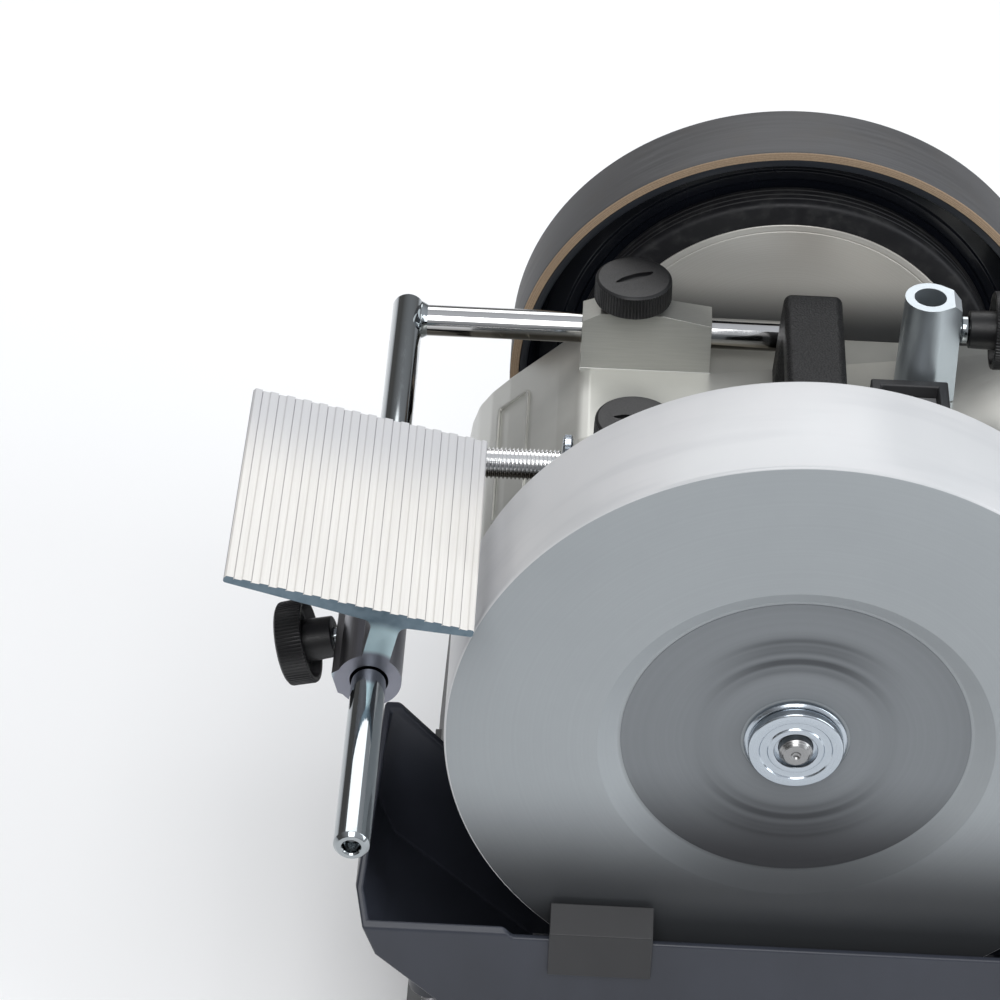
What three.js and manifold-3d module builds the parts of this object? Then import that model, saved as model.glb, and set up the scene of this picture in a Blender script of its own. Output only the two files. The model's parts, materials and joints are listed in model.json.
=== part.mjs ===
// Water-cooled bench sharpener: grindstone and honing wheel on one shaft, a friction-driven motor below,
// an adjustable bar support with a tilting tool rest, and a lifting water trough.
// Millimetres, +Z up. +Y runs along the main shaft from the stone towards the honing wheel,
// -X is the operator's side where the support reaches out. The group stands on z = 0 with its
// origin under the middle of the bounding box.

import * as THREE from "three";
import { mergeVertices } from "three/addons/utils/BufferGeometryUtils.js";
import Module from "manifold-3d";

const wasm = await Module();
wasm.setup();

// ---------- driving dimensions ----------

const GAP = 0.3; // between touching pieces
const FRAME_SHIFT = { x: 28.5, y: -74 }; // moves the shaft-centred layout to the middle of the bounding box

const AXIS_Z = 200; // height of the main shaft above the bench
const SHAFT_R = 6;
const SHAFT_NEAR_Y = -3.5;
const SHAFT_FAR_Y = 258;

const STONE_R = 125;
const STONE_WIDTH = 50;
const STONE_RECESS_R = 70.5;
const STONE_SEAT_R = 63.4;
const STONE_RECESS = 5;

const HONING_R = 110;
const HONING_NEAR_Y = 221;
const HONING_FAR_Y = 252;
const LEATHER = 3.5;
const TYRE_R = 85;
const DRIVE_DISC_R = 75.4;
const DRIVE_NEAR_Y = 223;
const DRIVE_DEPTH = 13;

const CASE_NEAR_Y = 60; // the casing's two flat sides
const CASE_FAR_Y = 206;
const CASE_TOP_Z = 234.5;
const CASE_SEAM_Z = 150;
const CASE_FRONT_X = -126;
const CASE_REAR_X = 126;
const CASE_FOOT_X = 134; // half width of the flared foot
const BASE_Z = 12;
const BASE_THICK = 3;
const SHELL_WALL = 3.5;

const BAR_R = 6;
const BAR_Z = 245;
const CROSS_BAR_X = -150;
const CROSS_BAR_NEAR_Y = -110;
const CROSS_BAR_FAR_Y = 200;
const LEG_SPACING = 90;
const NEAR_LEG_Y = 100.5;
const FAR_LEG_Y = NEAR_LEG_Y + LEG_SPACING;

const SLEEVE_FRONT_X = -82;
const SLEEVE_REAR_X = -32;
const NEAR_KNOB_X = -61.5;
const FAR_KNOB_X = -63;
const POST_X = 49; // vertical sleeves
const POST_FAR_Y = 172;
const POST_NEAR_Y = POST_FAR_Y - LEG_SPACING;
const POST_TOP_Z = 279;
const POST_KNOB_Z = 265.2;

const KNOB_R = 15;
const KNOB_THICK = 9.9;
const BOSS_R = 7.2;

const REST_TILT = THREE.MathUtils.degToRad(12.7);
const REST_NEAR_Y = -26.5;
const REST_LENGTH = 107.5;
const REST_TOP = 31.5; // table height above the bar's axis
const REST_KNOB_Y = 1;
const REST_KNOB_ANGLE = THREE.MathUtils.degToRad(28);

const MOTOR_X = -32;
const MOTOR_Z = 114.8;
const MOTOR_R = 45;
const ROLLER_R = 5.67;
const PIVOT_X = 40;
const PIVOT_Z = 52;
const PIVOT_R = 4;

const LIFT_X = -128;
const LIFT_Y = 23;

const COLOURS = {
  stone: 0x9aa1a6,
  zinc: 0xb9bbba,
  chrome: 0xc9ccd0,
  steel: 0xa9adb1,
  aluminium: 0xd6d5d0,
  blackPlastic: 0x1d1d20,
  knobPlastic: 0x222224,
  rubber: 0x17181a,
  leather: 0xa98f74,
  bronze: 0xb08d57,
  darkPaint: 0x33363a,
  greyPad: 0x77797a,
};

// ---------- small helpers ----------

// Colour, roughness and metalness of one surface.
function finish(colour, roughness, metalness) {
  return new THREE.MeshStandardMaterial({ color: colour, roughness, metalness });
}

function part(name, shape, material) {
  const made = new THREE.Mesh(shape, material);
  made.name = name;
  return made;
}

function box(x0, x1, y0, y1, z0, z1) {
  const shape = new THREE.BoxGeometry(x1 - x0, y1 - y0, z1 - z0);
  return shape.translate((x0 + x1) / 2, (y0 + y1) / 2, (z0 + z1) / 2);
}

// A profile of [radius, height] pairs turned about +Y, the direction of the main shaft.
function turned(profile, segments = 48) {
  return new THREE.LatheGeometry(profile.map(([r, y]) => new THREE.Vector2(r, y)), segments);
}

// The same, standing along +Z or lying along +X.
function turnedUp(profile, segments = 28) {
  return turned(profile, segments).rotateX(Math.PI / 2);
}

function turnedAcross(profile, segments = 28) {
  return turned(profile, segments).rotateZ(-Math.PI / 2);
}

function ring(inner, outer, from, to) {
  return [[inner, from], [outer, from], [outer, to], [inner, to], [inner, from]];
}

function rod(radius, from, to, chamfer = 0) {
  return [
    [0, from],
    [radius - chamfer, from],
    [radius, from + chamfer],
    [radius, to - chamfer],
    [radius - chamfer, to],
    [0, to],
  ].filter(([r, y], i, all) => !i || r !== all[i - 1][0] || y !== all[i - 1][1]);
}

function outline(points) {
  return new THREE.Shape(points.map(([a, b]) => new THREE.Vector2(a, b)));
}

// Extrusions of a THREE.Shape drawn in the plane across the named axis.
function alongY(shape, y0, y1) {
  const solid = new THREE.ExtrudeGeometry(shape, { depth: y1 - y0, bevelEnabled: false, curveSegments: 12 });
  return solid.rotateX(Math.PI / 2).translate(0, y1, 0);
}

function alongX(shape, x0, x1) {
  const solid = new THREE.ExtrudeGeometry(shape, { depth: x1 - x0, bevelEnabled: false, curveSegments: 12 });
  const turn = new THREE.Matrix4().makeBasis(
    new THREE.Vector3(0, 1, 0),
    new THREE.Vector3(0, 0, 1),
    new THREE.Vector3(1, 0, 0),
  );
  return solid.applyMatrix4(turn).translate(x0, 0, 0);
}

function toManifold(geometry) {
  const bare = geometry.clone();
  bare.deleteAttribute("normal");
  bare.deleteAttribute("uv");
  const merged = mergeVertices(bare, 1e-4);
  return new wasm.Manifold(
    new wasm.Mesh({
      numProp: 3,
      vertProperties: merged.attributes.position.array,
      triVerts: new Uint32Array(merged.index.array),
    }),
  );
}

function toGeometry(manifold) {
  const mesh = manifold.getMesh();
  const geometry = new THREE.BufferGeometry();
  geometry.setAttribute("position", new THREE.BufferAttribute(mesh.vertProperties, 3));
  geometry.setIndex(new THREE.BufferAttribute(mesh.triVerts, 1));
  geometry.computeVertexNormals();
  return geometry;
}

function join(...pieces) {
  return toGeometry(pieces.map(toManifold).reduce((a, b) => a.add(b)));
}

function cut(whole, ...tools) {
  return toGeometry(tools.map(toManifold).reduce((a, b) => a.subtract(b), toManifold(whole)));
}

function common(a, b) {
  return toGeometry(toManifold(a).intersect(toManifold(b)));
}

// ---------- main shaft, stone and honing wheel ----------

function grindstone() {
  const edge = 1.4;
  const profile = [
    [SHAFT_R + 0.6, STONE_RECESS],
    [STONE_SEAT_R, STONE_RECESS],
    [STONE_RECESS_R, 0],
    [STONE_R - edge, 0],
    [STONE_R, edge],
    [STONE_R, STONE_WIDTH - edge],
    [STONE_R - edge, STONE_WIDTH],
    [STONE_RECESS_R, STONE_WIDTH],
    [STONE_SEAT_R, STONE_WIDTH - STONE_RECESS],
    [SHAFT_R + 0.6, STONE_WIDTH - STONE_RECESS],
    [SHAFT_R + 0.6, STONE_RECESS],
  ];
  return part("grindstone", turned(profile, 64), finish(COLOURS.stone, 0.35, 0));
}

function mainShaft() {
  const profile = rod(SHAFT_R, SHAFT_NEAR_Y, SHAFT_FAR_Y, 1.6);
  return part("main_shaft", turned(profile, 24), finish(COLOURS.steel, 0.25, 1));
}

function stoneWasher() {
  const top = STONE_RECESS - GAP;
  const profile = [
    [SHAFT_R + GAP, top - 2.3],
    [17.6, top - 2.3],
    [18.5, top - 1.6],
    [18.5, top],
    [SHAFT_R + GAP, top],
    [SHAFT_R + GAP, top - 2.3],
  ];
  return part("stone_washer", turned(profile, 32), finish(COLOURS.chrome, 0.2, 1));
}

function stoneNut() {
  const seat = STONE_RECESS - GAP - 2.3 - GAP;
  const face = -1.2;
  const profile = [
    [SHAFT_R + GAP, 1],
    [7.75, 1],
    [7.75, face],
    [16.2, face],
    [17, face + 0.8],
    [17, seat],
    [SHAFT_R + GAP, seat],
    [SHAFT_R + GAP, 1],
  ];
  return part("stone_nut", turned(profile, 32), finish(COLOURS.chrome, 0.18, 1));
}

function innerFlange() {
  const seat = STONE_WIDTH - STONE_RECESS + GAP;
  const profile = [
    [SHAFT_R + GAP, seat],
    [30, seat],
    [30, seat + 3],
    [13, seat + 4.5],
    [11, CASE_NEAR_Y - 2.2],
    [SHAFT_R + GAP, CASE_NEAR_Y - 2.2],
    [SHAFT_R + GAP, seat],
  ];
  return part("inner_flange", turned(profile, 32), finish(COLOURS.steel, 0.35, 1));
}

function driveWheel() {
  const face = DRIVE_NEAR_Y;
  const profile = [
    [SHAFT_R + GAP, CASE_FAR_Y + 3],
    [15, CASE_FAR_Y + 3],
    [17, face - 2],
    [24, face],
    [DRIVE_DISC_R, face],
    [DRIVE_DISC_R, face + DRIVE_DEPTH],
    [70, face + DRIVE_DEPTH],
    [69, face + 5],
    [18, face + 5],
    [18, face + DRIVE_DEPTH],
    [SHAFT_R + GAP, face + DRIVE_DEPTH],
    [SHAFT_R + GAP, CASE_FAR_Y + 3],
  ];
  return part("drive_wheel", turned(profile, 48), finish(COLOURS.zinc, 0.35, 1));
}

function driveTyre() {
  const face = DRIVE_NEAR_Y;
  const profile = [
    [DRIVE_DISC_R + GAP, face],
    [82.6, face],
    [TYRE_R, face + 2.4],
    [TYRE_R, face + DRIVE_DEPTH],
    [DRIVE_DISC_R + GAP, face + DRIVE_DEPTH],
    [DRIVE_DISC_R + GAP, face],
  ];
  return part("drive_tyre", turned(profile, 64), finish(COLOURS.rubber, 0.7, 0));
}

function honingWheel() {
  const rim = HONING_R - LEATHER - GAP;
  const web = DRIVE_NEAR_Y + DRIVE_DEPTH + 2.5;
  const profile = [
    [SHAFT_R + GAP, DRIVE_NEAR_Y + DRIVE_DEPTH + GAP],
    [22, DRIVE_NEAR_Y + DRIVE_DEPTH + GAP],
    [24, web],
    [99.6, web],
    [103.4, HONING_NEAR_Y + GAP],
    [rim, HONING_NEAR_Y + GAP],
    [rim, HONING_FAR_Y - GAP],
    [102, HONING_FAR_Y - GAP],
    [99, web + 6],
    [28, web + 6],
    [25, web + 9],
    [SHAFT_R + GAP, web + 9],
    [SHAFT_R + GAP, DRIVE_NEAR_Y + DRIVE_DEPTH + GAP],
  ];
  return part("honing_wheel", turned(profile, 48), finish(COLOURS.blackPlastic, 0.5, 0));
}

function honingLeather() {
  const profile = ring(HONING_R - LEATHER, HONING_R, HONING_NEAR_Y, HONING_FAR_Y);
  return part("honing_leather", turned(profile, 64), finish(COLOURS.leather, 0.8, 0));
}

function honingNut() {
  const seat = DRIVE_NEAR_Y + DRIVE_DEPTH + 11.5 + GAP;
  const profile = [
    [SHAFT_R + GAP, seat],
    [15, seat],
    [15, seat + 2],
    [12.5, seat + 3],
    [11.5, SHAFT_FAR_Y - 1.5],
    [SHAFT_R + GAP, SHAFT_FAR_Y - 1.5],
    [SHAFT_R + GAP, seat],
  ];
  return part("honing_nut", turned(profile, 28), finish(COLOURS.steel, 0.3, 1));
}

function spindle() {
  const group = new THREE.Group();
  group.position.z = AXIS_Z;
  group.add(mainShaft(), grindstone(), stoneWasher(), stoneNut(), innerFlange());
  group.add(driveWheel(), driveTyre(), honingWheel(), honingLeather(), honingNut());
  return group;
}

// ---------- casing ----------

// Section of the cast top across the shaft: steep front, 43 degree slope, flat top, rounded back.
function castingSection(inset) {
  const front = CASE_FRONT_X + inset;
  const rear = CASE_REAR_X - inset;
  const top = CASE_TOP_Z - inset;
  const slope = inset * 0.4;
  return outline([
    [front, CASE_SEAM_Z + GAP - (inset ? 5 : 0)],
    [rear, CASE_SEAM_Z + GAP - (inset ? 5 : 0)],
    [rear, top - 30],
    [rear - 3.5, top - 15],
    [rear - 10, top - 5],
    [rear - 18, top],
    [-78 + slope, top],
    [-82 + slope, top - 1.4],
    [-90 + slope, top - 8],
    [-109 + slope, top - 25.6],
    [-116 + slope, top - 33],
    [-121 + slope, top - 40.2],
    [front + 2.4, top - 48.4],
    [front + 1.3, top - 56],
  ]);
}

function topCasting() {
  const wall = 4;
  const end = 6;
  const bossR = 20;
  const bossDepth = 20;
  const shell = cut(
    alongY(castingSection(0), CASE_NEAR_Y, CASE_FAR_Y),
    alongY(castingSection(wall), CASE_NEAR_Y + end, CASE_FAR_Y - end),
  );
  const boss = (from, to) => turned(rod(bossR, from, to), 32).translate(0, 0, AXIS_Z);
  const bore = turned(rod(14.5, CASE_NEAR_Y - 1, CASE_FAR_Y + 1), 32).translate(0, 0, AXIS_Z);
  const whole = join(
    shell,
    boss(CASE_NEAR_Y + 1, CASE_NEAR_Y + bossDepth),
    boss(CASE_FAR_Y - bossDepth, CASE_FAR_Y - 1),
  );
  return part("top_casting", cut(whole, bore), finish(COLOURS.zinc, 0.45, 1));
}

// The plastic body below the casting: four walls, flared towards the foot.
function housingShell() {
  const bottom = BASE_Z + BASE_THICK + GAP;
  const section = (inset) =>
    outline([
      [-CASE_FOOT_X + inset, bottom - (inset ? 1 : 0)],
      [CASE_FOOT_X - inset, bottom - (inset ? 1 : 0)],
      [CASE_FOOT_X - inset, bottom + 14],
      [CASE_REAR_X - inset, CASE_SEAM_Z + (inset ? 1 : 0)],
      [CASE_FRONT_X + inset, CASE_SEAM_Z + (inset ? 1 : 0)],
      [-CASE_FOOT_X + inset, bottom + 14],
    ]);
  const walls = cut(
    alongY(section(0), CASE_NEAR_Y + GAP, CASE_FAR_Y - GAP),
    alongY(section(SHELL_WALL), CASE_NEAR_Y + GAP + SHELL_WALL, CASE_FAR_Y - GAP - SHELL_WALL),
  );
  const shaftSlot = turned(rod(12, CASE_FAR_Y - 8, CASE_FAR_Y + 2), 24).translate(MOTOR_X, 0, MOTOR_Z);
  const switchHole = box(-140, -115, 119, 147, 50, 74);
  const inletHole = turnedAcross(rod(8.3, 110, 140), 24).translate(0, 150, 42);
  const vents = [0, 1, 2, 3, 4, 5].map((i) => box(110, 140, 82 + i * 9, 86 + i * 9, 84, 124));
  return part(
    "housing_shell",
    cut(walls, shaftSlot, switchHole, inletHole, ...vents),
    finish(COLOURS.blackPlastic, 0.6, 0),
  );
}

function basePlate() {
  const near = CASE_NEAR_Y + GAP;
  const far = CASE_FAR_Y - GAP;
  const plate = box(-CASE_FOOT_X, CASE_FOOT_X, near, far, BASE_Z, BASE_Z + BASE_THICK);
  return part("base_plate", plate, finish(COLOURS.darkPaint, 0.5, 0.6));
}

function rubberFoot(name, x, y) {
  const top = BASE_Z - GAP;
  const foot = turnedUp([[0, 0], [11, 0], [12, 1], [14, top], [0, top]], 24).translate(x, y, 0);
  return part(name, foot, finish(COLOURS.rubber, 0.85, 0));
}

function bushing(name, outerFace, inward) {
  const steps = [
    [SHAFT_R + GAP, 0],
    [17, 0],
    [17, 1.2],
    [14.2, 1.2],
    [14.2, 20],
    [SHAFT_R + GAP, 20],
    [SHAFT_R + GAP, 0],
  ];
  const profile = steps.map(([r, d]) => [r, outerFace + inward * d]);
  const ordered = inward > 0 ? profile : profile.reverse();
  const shape = turned(ordered, 24).translate(0, 0, AXIS_Z);
  return part(name, shape, finish(COLOURS.bronze, 0.4, 0.8));
}

function handle() {
  const base = CASE_TOP_Z + GAP;
  const top = 276;
  const round = 9;
  const half = 11;
  const flare = 2;
  const middle = 5;
  const arch = new THREE.Shape();
  arch.moveTo(84, base);
  arch.lineTo(102, base);
  arch.lineTo(103.5, 258);
  arch.quadraticCurveTo(104.5, 265, 111, 265);
  arch.lineTo(154, 265);
  arch.quadraticCurveTo(160.5, 265, 161.5, 258);
  arch.lineTo(163, base);
  arch.lineTo(181, base);
  arch.lineTo(176.5, top - round);
  arch.quadraticCurveTo(175, top, 166, top);
  arch.lineTo(99, top);
  arch.quadraticCurveTo(90, top, 88.5, top - round);
  arch.lineTo(84, base);
  const shape = alongX(arch, -half, half);
  const spots = shape.attributes.position;
  for (let i = 0; i < spots.count; i++) {
    const widening = 1 + (flare / half) * ((top - spots.getZ(i)) / (top - base));
    spots.setX(i, middle + spots.getX(i) * widening);
  }
  return part("handle", shape, finish(COLOURS.blackPlastic, 0.65, 0));
}

const HOLDER = { x0: 28.5, x1: 58, y0: 112, y1: 160, top: 249, wall: 4, depth: 5 };

function accessoryHolder() {
  const { x0, x1, y0, y1, top, wall, depth } = HOLDER;
  const block = box(x0, x1, y0, y1, CASE_TOP_Z + GAP, top);
  const pocket = box(x0 + wall, x1 - wall, y0 + wall, y1 - wall, top - depth - 2, top + 1);
  return part("accessory_holder", cut(block, pocket), finish(COLOURS.blackPlastic, 0.6, 0));
}

function holderPad() {
  const { x0, x1, y0, y1, top, wall, depth } = HOLDER;
  const inset = wall + GAP;
  const pad = box(x0 + inset, x1 - inset, y0 + inset, y1 - inset, top - depth - 2 + GAP, top - depth);
  return part("holder_pad", pad, finish(COLOURS.greyPad, 0.7, 0.2));
}

// A block bored for one leg of the support: drafted sides and a roof-shaped top.
function horizontalSleeve(name, y, knobX) {
  const base = CASE_TOP_Z + GAP;
  const front = outline([
    [SLEEVE_FRONT_X, base],
    [SLEEVE_REAR_X, base],
    [SLEEVE_REAR_X, 252.6],
    [-51, 255.9],
    [-75, 255.9],
    [SLEEVE_FRONT_X, 252.6],
  ]);
  const side = outline([
    [y - 12, base],
    [y + 12, base],
    [y + 5.75, 257],
    [y - 5.75, 257],
  ]);
  const body = common(alongY(front, y - 14, y + 14), alongX(side, SLEEVE_FRONT_X, SLEEVE_REAR_X));
  const bore = turnedAcross(rod(BAR_R + GAP, -90, -25), 28).translate(0, y, BAR_Z);
  const screwHole = turnedUp(rod(3.3, BAR_Z, 260), 16).translate(knobX, y, 0);
  return part(name, cut(body, bore, screwHole), finish(COLOURS.aluminium, 0.35, 1));
}

// A circle drawn out along +X by two straight sides that touch it and end in a flat face.
function teardrop(radius, reach) {
  const touch = THREE.MathUtils.degToRad(58.7);
  const steps = 24;
  const half = (radius - reach * Math.cos(touch)) / Math.sin(touch);
  const points = [[reach, half]];
  for (let i = 0; i <= steps; i++) {
    const turn = touch + (2 * (Math.PI - touch) * i) / steps;
    points.push([radius * Math.cos(turn), radius * Math.sin(turn)]);
  }
  return [...points, [reach, -half]];
}

// A solid standing between two convex outlines with the same number of points.
function lofted(lower, upper, z0, z1) {
  const count = lower.length;
  const corners = [];
  lower.forEach(([x, y]) => corners.push(x, y, z0));
  upper.forEach(([x, y]) => corners.push(x, y, z1));
  const faces = [];
  for (let i = 0; i < count; i++) {
    const next = (i + 1) % count;
    faces.push(i, next, count + next, i, count + next, count + i);
    if (i > 1) {
      faces.push(0, i, i - 1, count, count + i - 1, count + i);
    }
  }
  const shape = new THREE.BufferGeometry();
  shape.setAttribute("position", new THREE.Float32BufferAttribute(corners, 3));
  shape.setIndex(faces);
  return shape;
}

// An upright tapered sleeve whose rear side carries the clamp screw and is chamfered at the top.
function verticalSleeve(name, y) {
  const base = CASE_TOP_Z + GAP;
  const body = lofted(teardrop(10.5, 12.8), teardrop(9.6, 12.1), base, POST_TOP_Z);
  const chamfer = outline([
    [9.1, POST_TOP_Z],
    [14, POST_TOP_Z - 5.2],
    [14, POST_TOP_Z + 2],
    [9.1, POST_TOP_Z + 2],
  ]);
  const bore = turnedUp(rod(BAR_R + 0.15, base + 2, POST_TOP_Z + 1), 32);
  const screwHole = turnedAcross(rod(3.3, 0, 20), 16).translate(0, 0, POST_KNOB_Z);
  const shape = cut(body, alongY(chamfer, -12, 12), bore, screwHole).translate(POST_X, y, 0);
  return part(name, shape, finish(COLOURS.zinc, 0.4, 1));
}

const ROCKER = { x: -127.5, y: 133, z: 62 };

function switchBezel() {
  const plate = box(-133.5, -124, 119.4, 146.6, ROCKER.z - 11.6, ROCKER.z + 11.6);
  const frame = cut(plate, box(-140, -120, 122, 144, ROCKER.z - 9.6, ROCKER.z + 9.6));
  return part("switch_bezel", frame, finish(COLOURS.blackPlastic, 0.4, 0));
}

function rocker() {
  const half = 8.4;
  const section = outline([
    [3, -half + 2],
    [3, half - 2],
    [-5.2, half - 0.6],
    [-4.2, 0],
    [-7.4, -half + 0.6],
  ]);
  const shape = alongY(section, -10.6, 10.6).translate(ROCKER.x, ROCKER.y, ROCKER.z);
  return part("power_rocker", shape, finish(COLOURS.knobPlastic, 0.35, 0));
}

function cordInlet() {
  const profile = [
    [4, 118],
    [8, 118],
    [8, 134.4],
    [11, 134.4],
    [11, 136.6],
    [8.5, 138],
    [7, 142.4],
    [4, 142.4],
    [4, 118],
  ];
  const shape = turnedAcross(profile, 24).translate(0, 150, 42);
  return part("cord_inlet", shape, finish(COLOURS.blackPlastic, 0.6, 0));
}

function capacitor() {
  const can = turned(rod(17.5, 92, 168, 1.5), 20).translate(92, 0, BASE_Z + BASE_THICK + 17.5 + GAP);
  return part("capacitor", can, finish(0x8f9396, 0.4, 0.8));
}

// ---------- motor on its sprung cradle ----------

function lug(x, z, y0, y1, foot) {
  const plate = new THREE.Shape();
  plate.moveTo(x - 10, foot);
  plate.lineTo(x + 10, foot);
  plate.lineTo(x + 9, z);
  plate.absarc(x, z, 9, 0, Math.PI, false);
  plate.lineTo(x - 10, foot);
  const hole = new THREE.Path();
  hole.absarc(x, z, PIVOT_R + GAP, 0, 2 * Math.PI, true);
  plate.holes.push(hole);
  return alongY(plate, y0, y1);
}

function motorBracket() {
  const foot = BASE_Z + BASE_THICK + GAP;
  const strip = box(PIVOT_X - 12, PIVOT_X + 12, 88, 182, foot, foot + 3);
  const ear = (y0, y1) => lug(PIVOT_X, PIVOT_Z, y0, y1, foot + 1);
  const shape = join(strip, ear(89, 93), ear(177, 181));
  return part("motor_bracket", shape, finish(COLOURS.steel, 0.5, 0.9));
}

function pivotPin() {
  const profile = [
    [0, 84],
    [6, 84],
    [6, 88.5],
    [PIVOT_R, 88.5],
    [PIVOT_R, 184],
    [0, 184],
  ];
  const shape = turned(profile, 20).translate(PIVOT_X, 0, PIVOT_Z);
  return part("pivot_pin", shape, finish(COLOURS.steel, 0.3, 1));
}

// Torsion spring round the pivot pin: one leg on the base, one under the cradle.
function torsionSpring() {
  const wire = 1.2;
  const coilR = 7.5;
  const turns = 5;
  const perTurn = 12;
  const steps = turns * perTurn;
  const points = [];
  points.push(new THREE.Vector3(PIVOT_X - 12, 118, BASE_Z + BASE_THICK + 6));
  for (let i = 0; i <= steps; i++) {
    const angle = Math.PI + (2 * Math.PI * i) / perTurn;
    const y = 118 + (i / steps) * turns * 6;
    const x = PIVOT_X + coilR * Math.cos(angle);
    const z = PIVOT_Z - coilR * Math.sin(angle);
    points.push(new THREE.Vector3(x, y, z));
  }
  points.push(new THREE.Vector3(PIVOT_X - 20, 148, PIVOT_Z + 5));
  points.push(new THREE.Vector3(PIVOT_X - 38, 148, PIVOT_Z + 5.2));
  const section = new THREE.Shape();
  section.absarc(0, 0, wire, 0, 2 * Math.PI, false);
  const path = new THREE.CatmullRomCurve3(points, false, "catmullrom", 0.2);
  const shape = new THREE.ExtrudeGeometry(section, {
    steps: 76,
    curveSegments: 3,
    bevelEnabled: false,
    extrudePath: path,
  });
  return part("torsion_spring", shape, finish(COLOURS.steel, 0.3, 1));
}

function motorCradle() {
  const plateTop = 64;
  const plate = box(-78, 34, 97, 173, plateTop - 3, plateTop);
  const saddle = box(-58, -6, 104, 166, plateTop - 1, 76);
  const ear = (y0, y1) =>
    join(lug(PIVOT_X, PIVOT_Z, y0, y1, PIVOT_Z - 6), box(20, 44, y0, y1, PIVOT_Z + 7, plateTop));
  const body = join(plate, saddle, ear(97, 101), ear(169, 173));
  const can = turned(rod(MOTOR_R + 0.6, 90, 180), 28).translate(MOTOR_X, 0, MOTOR_Z);
  const pin = turned(rod(PIVOT_R + GAP, 90, 180), 24).translate(PIVOT_X, 0, PIVOT_Z);
  return part("motor_cradle", cut(body, can, pin), finish(COLOURS.steel, 0.5, 0.9));
}

function statorCase() {
  const shape = turned(ring(36, MOTOR_R, 102, 168), 28).translate(MOTOR_X, 0, MOTOR_Z);
  return part("stator_case", shape, finish(COLOURS.darkPaint, 0.5, 0.7));
}

function motorEndCap(name, outer, inward) {
  const steps = [
    [5, 0],
    [16, 0],
    [20, 5],
    [MOTOR_R, 8],
    [MOTOR_R, 13.7],
    [34, 13.7],
    [30, 10],
    [12, 9],
    [5, 9],
    [5, 0],
  ];
  const profile = steps.map(([r, d]) => [r, outer + inward * d]);
  const ordered = inward > 0 ? profile : profile.reverse();
  const shape = turned(ordered, 24).translate(MOTOR_X, 0, MOTOR_Z);
  return part(name, shape, finish(COLOURS.aluminium, 0.45, 1));
}

function motor() {
  const group = new THREE.Group();
  group.add(motorCradle(), statorCase());
  group.add(motorEndCap("motor_endcap_near", 88, 1), motorEndCap("motor_endcap_far", 182, -1));
  return group;
}

function rotor() {
  const group = new THREE.Group();
  group.position.set(MOTOR_X, 0, MOTOR_Z);
  const shaftProfile = [
    [0, 70],
    [4, 70],
    [4, 101],
    [31, 104],
    [31, 166],
    [4, 169],
    [4, 237],
    [0, 237],
  ];
  group.add(part("rotor_shaft", turned(shaftProfile, 28), finish(COLOURS.steel, 0.35, 1)));
  const roller = ring(4 + GAP, ROLLER_R, DRIVE_NEAR_Y + 0.5, DRIVE_NEAR_Y + DRIVE_DEPTH - 0.5);
  group.add(part("drive_roller", turned(roller, 24), finish(COLOURS.steel, 0.4, 1)));
  group.add(coolingFan());
  return group;
}

function coolingFan() {
  const blades = 7;
  const hub = turned(ring(4 + GAP, 11, 72, 84), 24);
  const disc = turned(ring(10, 38, 81.6, 83.6), 24);
  const pieces = [hub, disc];
  for (let i = 0; i < blades; i++) {
    const blade = box(10.5, 37, 73, 82, -0.9, 0.9).rotateY((2 * Math.PI * i) / blades);
    pieces.push(blade);
  }
  return part("cooling_fan", join(...pieces), finish(COLOURS.blackPlastic, 0.6, 0));
}

// ---------- bar support, adjuster and tool rest ----------

function supportCrossBar() {
  const bar = turned(rod(BAR_R, CROSS_BAR_NEAR_Y, CROSS_BAR_FAR_Y, 1), 28);
  const centre = turned(rod(3.2, CROSS_BAR_NEAR_Y - 1, CROSS_BAR_NEAR_Y + 7), 20);
  const shape = cut(bar, centre).translate(CROSS_BAR_X, 0, BAR_Z);
  return part("support_cross_bar", shape, finish(COLOURS.chrome, 0.12, 1));
}

function supportLeg(name, y, end) {
  const start = CROSS_BAR_X + BAR_R + GAP;
  const shape = turnedAcross(rod(BAR_R, start, end, 0.8), 28).translate(0, y, BAR_Z);
  return part(name, shape, finish(COLOURS.chrome, 0.15, 1));
}

function microAdjustNut() {
  const profile = [
    [BAR_R + GAP, -87.6],
    [10.6, -87.6],
    [11.6, -86.6],
    [11.6, -84.4],
    [10.6, -83.4],
    [BAR_R + GAP, -83.4],
    [BAR_R + GAP, -87.6],
  ];
  const shape = turnedAcross(profile, 28).translate(0, NEAR_LEG_Y, BAR_Z);
  return part("micro_adjust_nut", shape, finish(COLOURS.chrome, 0.25, 1));
}

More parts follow.
